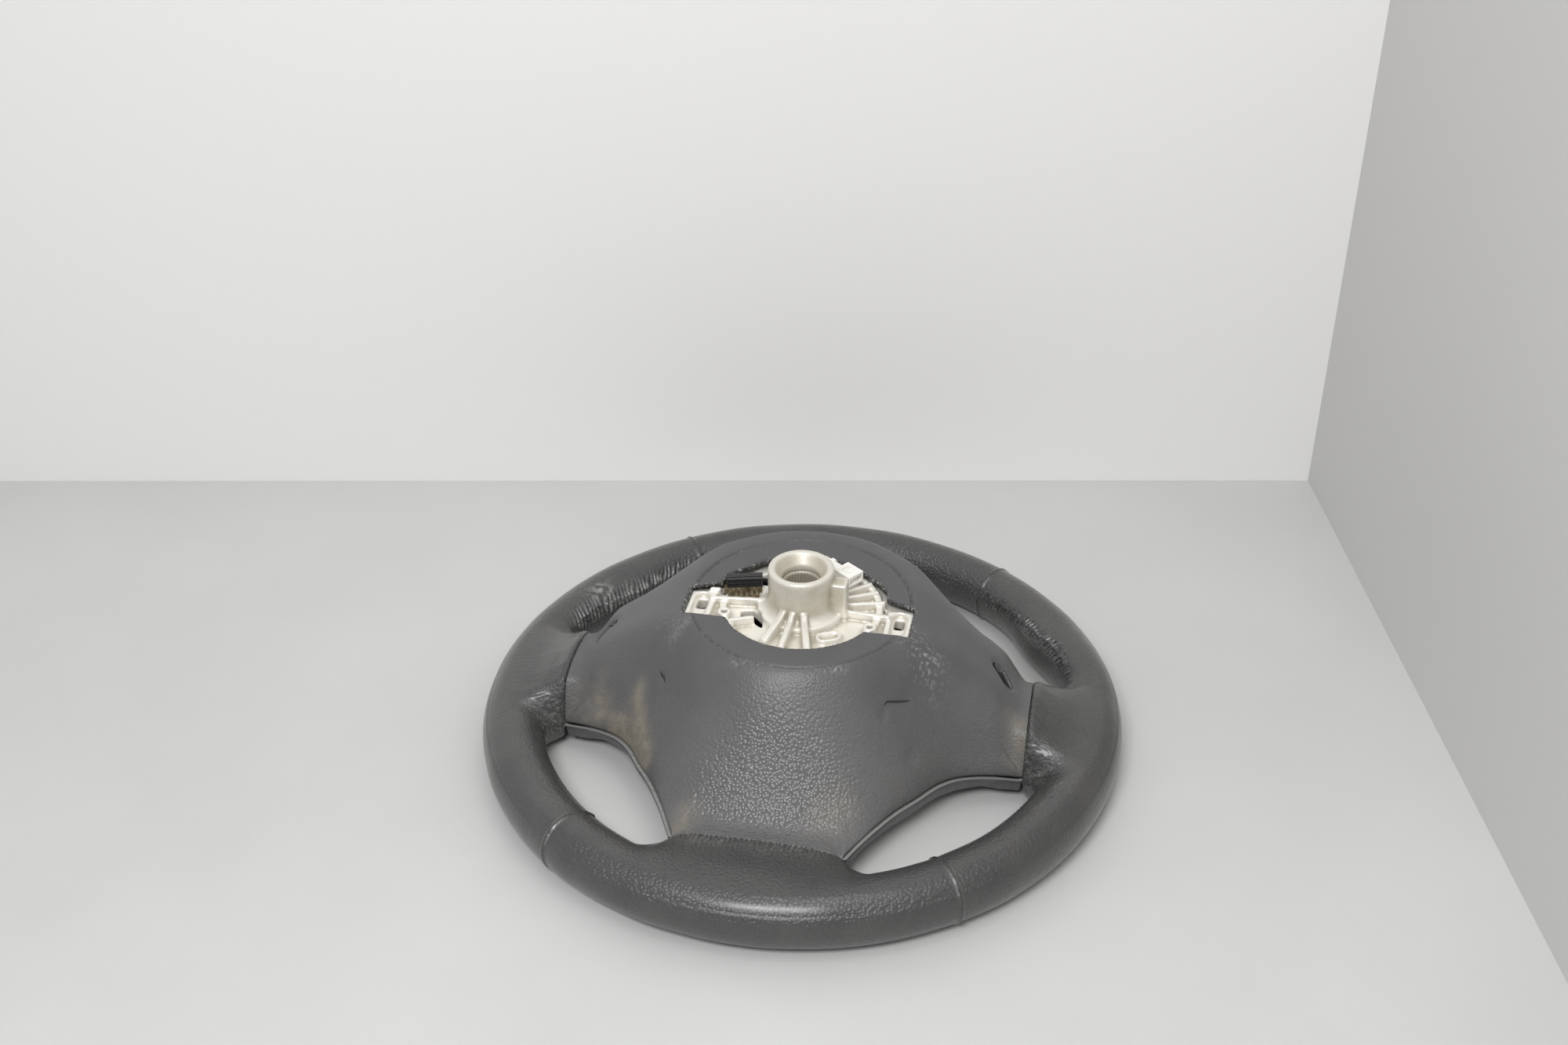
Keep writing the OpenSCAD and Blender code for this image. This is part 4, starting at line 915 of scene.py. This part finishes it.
face, back, top = 8.0, 10.4, 21.0
below = face - 1
well_r, well_wall_r, well_high = 70, 72, 28
post_r, post_upper, post_lower, screw_r, screw_deep = 3.6, 21, 18, 2.6, 8.9
pod_x, pod_y, pod_wide, pod_tall, pod_corner, pod_deep = 106, -8, 46.6, 36.6, 6.3, 13
screws = [(s * x, y) for s in (-1, 1) for x, y in ((96, 24), (24, -112))]
bezel = tray("front_bezel_moulding", [
    [face, -9], [face + 0.5, -7.2], [face + 1.8, -5], [face + 4.5, -3], [face + 7.5, -0.9],
    [top - 3.4, 0.8], [top - 1.8, 1.8], [top - 0.6, 2.0], [top, 1.8]], 0.9, trim)
inside = tray("hollow", [
    [back, -11], [back + 1.2, -8.8], [back + 3.1, -5.4], [back + 5.8, -3.2], [top - 2, -1.3],
    [top + 1, -0.9]], -1, trim)
carve(bezel, "DIFFERENCE", inside)
carve(bezel, "UNION", turned_block("well_wall", well_wall_r, face + 0.01, well_high), *[
    turned_block("post", post_r, back - 0.5, post_upper if y > 0 else post_lower, (x, y), 48) for x, y in screws])
pods = [rounded_block("pod_hole", pod_wide, pod_tall, pod_corner, below, pod_deep, (s * pod_x, pod_y))
        for s in (-1, 1)]
carve(bezel, "DIFFERENCE", turned_block("well", well_r, below, well_high + 20), *pods,
      *[turned_block("screw_way", screw_r, below, screw_deep, at, 32) for at in screws])
soften(bezel, 0.35, 40)
settle(bezel)
bezel.data.shade_smooth()
bezel.data.set_sharp_from_angle(angle=math.radians(38))
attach(bezel, "wheel")
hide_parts("front_bezel")

# Armature: one die casting in light alloy, with plate, boss, ribs, four arms and the rim's ring.
# The hub is copied from the CAD solid and rounded, as a casting's edges are; it is grey-yellow from age.
cast, tree, shader = paint("cast_alloy", tone(222, 217, 203), 0.42, 0.3)
where = place(tree)
crest_highlight, pit = mark(tree, "crest_highlight"), mark(tree, "pit")
patch = noise(tree, where, 0.012, 5, 0.6)
flow = noise(tree, where, 0.0025, 4, 0.6)
base = blotched(tree, patch, 0.32, 0.68, tone(196, 189, 172), tone(216, 211, 198))
base = mix(tree, times(tree, pit, levels(tree, flow, 0.3, 0.7, 0.25, 0.85)), base, tone(138, 129, 111))
# Painted highlight on the casting's crests and edges, which are also a little glossier
base = mix(tree, times(tree, crest_highlight, 0.6), base, tone(240, 238, 232))
# The boss is machined on top, and the plate below it is paler
machined = levels(tree, z_of(tree, where), 0.1176, 0.1182)
base = mix(tree, times(tree, machined, 0.6), base, tone(222, 218, 206))
plate = levels(tree, z_of(tree, where), 0.1, 0.092)
clean = sums(tree, "SUBTRACT", 0.8, times(tree, pit, 0.6))
base = mix(tree, times(tree, plate, clean), base, tone(246, 243, 235))
shine = levels(tree, sums(tree, "SUBTRACT", patch, times(tree, crest_highlight, 0.3)), 0.1, 0.8, 0.26, 0.52)
bumped = relief(tree, patch, 0.0005, strength=0.35)
lay_on(tree, shader, base, shine, relief(tree, noise(tree, where, 0.0011, 3), 0.00012, bumped, 0.5))


def box_block(name, low, high):
    build = bmesh.new()
    bmesh.ops.create_cube(build, size=1.0)
    for v in build.verts:
        v.co = [mm * ((a + b) / 2 + (b - a) * c) for a, b, c in zip(low, high, v.co)]
    return stand_built(name, build)


hub_low, hub_high = (-69.3, -52.3, 78.7), (69.3, 52.3, 125)
hub = stand("armature_hub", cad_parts["armature"].data.copy())
hub.data.materials.clear()
weld(hub)
settle(hub)
arms = stand("armature_arms", hub.data.copy())
# The plate's upper rim and the hook blocks reach a little way under the cover, where the CAD solid stops
flange_in, flange_out, hook_x, hook_half = 43, 56, 57.5, 9.5
ways = np.radians(np.linspace(-76, 76, 60))
fan = [(r * math.sin(s * way), r * math.cos(s * way)) for r, s in ((flange_out, 1), (flange_in, -1)) for way in ways]
hook_rims = [
    box_block("hook_rim", (x - hook_half, 2, 84.4), (x + hook_half, 14, 88.9)) for x in (-hook_x, hook_x)]
carve(hub, "UNION", slab("flange", fan, 84.5, 88.6), *hook_rims)
carve(hub, "INTERSECT", box_block("hub_room", hub_low, hub_high))
carve(arms, "DIFFERENCE", box_block("hub_room", hub_low, hub_high))
voxels = hub.modifiers.new("voxels", "REMESH")
voxels.mode = "VOXEL"
voxels.voxel_size = 0.0008
rounding = hub.modifiers.new("rounding", "SMOOTH")
rounding.factor = 0.5
rounding.iterations = 4
settle(hub)


def curvature_marks(thing):
    """How much each point stands out of or lies in its surroundings, as two marks."""
    mesh = thing.data
    n = len(mesh.vertices)
    co, no = np.empty(n * 3, np.float32), np.empty(n * 3, np.float32)
    mesh.vertices.foreach_get("co", co)
    mesh.vertices.foreach_get("normal", no)
    co, no = co.reshape(-1, 3), no.reshape(-1, 3)
    pairs = np.empty(len(mesh.edges) * 2, np.int32)
    mesh.edges.foreach_get("vertices", pairs)
    one, other = pairs.reshape(-1, 2).T
    valence = np.bincount(pairs, minlength=n)

    def spread(values):
        """The mean over the neighbours of each point."""
        total = np.stack([
            np.bincount(one, part[other], n) + np.bincount(other, part[one], n) for part in values.T], -1)
        return total / np.maximum(valence, 1)[:, None]

    bend = np.sum((co - spread(co)) * no, -1, keepdims=True) * 1000
    for _ in range(3):
        bend = 0.5 * bend + 0.5 * spread(bend)
    wide = bend
    for _ in range(12):
        wide = spread(wide)
    put_marks(mesh, {"crest_highlight": np.clip(bend * 14, 0, 1), "pit": np.clip(-bend * 9 - wide * 10, 0, 1)})


curvature_marks(hub)
for thing in (hub, arms):
    thing.data.materials.clear()
    thing.data.materials.append(cast)
    thing.data.shade_smooth()
    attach(thing, "wheel")
    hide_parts("armature")
arms.data.set_sharp_from_angle(angle=math.radians(35))

# Steel bush cast into the boss, with a plain pilot and 36 serrations broached above it.
# It stays as the CAD solid, in bright turned steel.
steel, tree, shader = paint("bush_steel", tone(178, 172, 158), 0.42, 0.25)
where = place(tree)
turning = add(tree, "TexWave", {"Vector": where, "Scale": 2200, "Distortion": 3.0, "Detail": 2.0},
              wave_type="RINGS", rings_direction="Z").outputs["Fac"]
lay_on(tree, shader, mix(tree, noise(tree, where, 0.002, 4), tone(160, 153, 138), tone(196, 190, 176)),
       bumps=relief(tree, turning, 0.00004, strength=0.5))
dress("serrated_bush", steel)

# Plugs at the hub: a stained metal bracket with the black ten-way plug, and the white plug of the
# airbag lying on the casting's ribs. Each is a moulding with a softened edge.
stained, tree, shader = paint("stained_bracket", tone(128, 114, 88), 0.5, 0.6)
where = place(tree)
cloud = noise(tree, where, 0.004, 5)
lay_on(tree, shader, blotched(tree, cloud, 0.35, 0.65, tone(96, 82, 60), tone(150, 138, 112)),
       bumps=relief(tree, noise(tree, where, 0.001, 3), 0.0001))
black, tree, shader = paint("plug_black", tone(38, 38, 39), 0.38)
where = place(tree)
lay_on(tree, shader, rough=levels(tree, noise(tree, where, 0.003, 3), 0.3, 0.7, 0.3, 0.48),
       bumps=relief(tree, noise(tree, where, 0.0006, 2), 0.00005))
white, tree, shader = paint("plug_white", tone(244, 243, 238), 0.35)
cloud = noise(tree, place(tree), 0.006, 4)
lay_on(tree, shader, blotched(tree, cloud, 0.5, 0.75, tone(246, 245, 240), tone(226, 222, 210)))
shader.inputs["Subsurface Weight"].default_value = 0.1
shader.inputs["Subsurface Radius"].default_value = (0.002, 0.002, 0.0015)
for node, material in (("plug_bracket", stained), ("black_plug", black), ("white_plug", white)):
    soften(dress(node, material), 0.25)

# Wiring looms inside the cover, from the plugs to the switch boards: wires in woven black tape.
# They stay as the CAD solids with tape winding painted on.
tape, tree, shader = paint("loom_tape", tone(34, 34, 35), 0.6)
winding = add(tree, "TexWave", {"Vector": place(tree), "Scale": 160, "Distortion": 0.6},
              bands_direction="DIAGONAL").outputs["Fac"]
lay_on(tree, shader, mix(tree, winding, tone(26, 26, 27), tone(50, 50, 51)),
       bumps=relief(tree, winding, 0.0003))
for node in ("loom_left", "loom_right"):
    dress(node, tape)

# Airbag clips: spring wire, bent and held in the armature's lugs behind the two hook slots.
# They stay as the CAD solids, in drawn wire with faint lines.
wire, tree, shader = paint("spring_wire", tone(120, 120, 122), 0.35, 0.9)
lay_on(tree, shader, bumps=relief(tree, noise(tree, place(tree), 0.0008, 2), 0.00005))
for node in ("airbag_clip_left", "airbag_clip_right"):
    dress(node, wire)

# Switch pods on the driver's side: a moulded frame with its printed board, a rocker on two pins
# and two push buttons, all in fine-textured plastic.
button, tree, shader = paint("button_plastic", tone(88, 88, 90), 0.4)
where = place(tree)
cloud = noise(tree, where, 0.01, 3)
lay_on(tree, shader, blotched(tree, cloud, 0.35, 0.65, tone(82, 82, 84), tone(95, 95, 97)),
       bumps=relief(tree, pits(tree, where, 1600), 0.00008, strength=0.5))
circuit, tree, shader = paint("circuit_board", tone(36, 92, 60), 0.35)
cloud = noise(tree, place(tree), 0.003, 2)
lay_on(tree, shader, blotched(tree, cloud, 0.45, 0.55, tone(30, 84, 54), tone(48, 112, 74)))
for side in ("left", "right"):
    soften(dress("switch_pod_" + side, trim), 0.3)
    dress("switch_board_" + side, circuit)
for node in ("volume_rocker", "phone_button", "voice_button", "track_rocker", "mode_button", "menu_button"):
    soften(dress(node, button), 0.35)

# Screws of the bezel and of the pods: black coated steel with hexagon and plain heads.
# They stay as the CAD solids, in a fine-grained satin coat.
coated, tree, shader = paint("screw_steel", tone(60, 60, 62), 0.35, 0.7)
lay_on(tree, shader, bumps=relief(tree, noise(tree, place(tree), 0.0006, 2), 0.00004))
for node in ("bezel_screws", "pod_screws"):
    dress(node, coated)
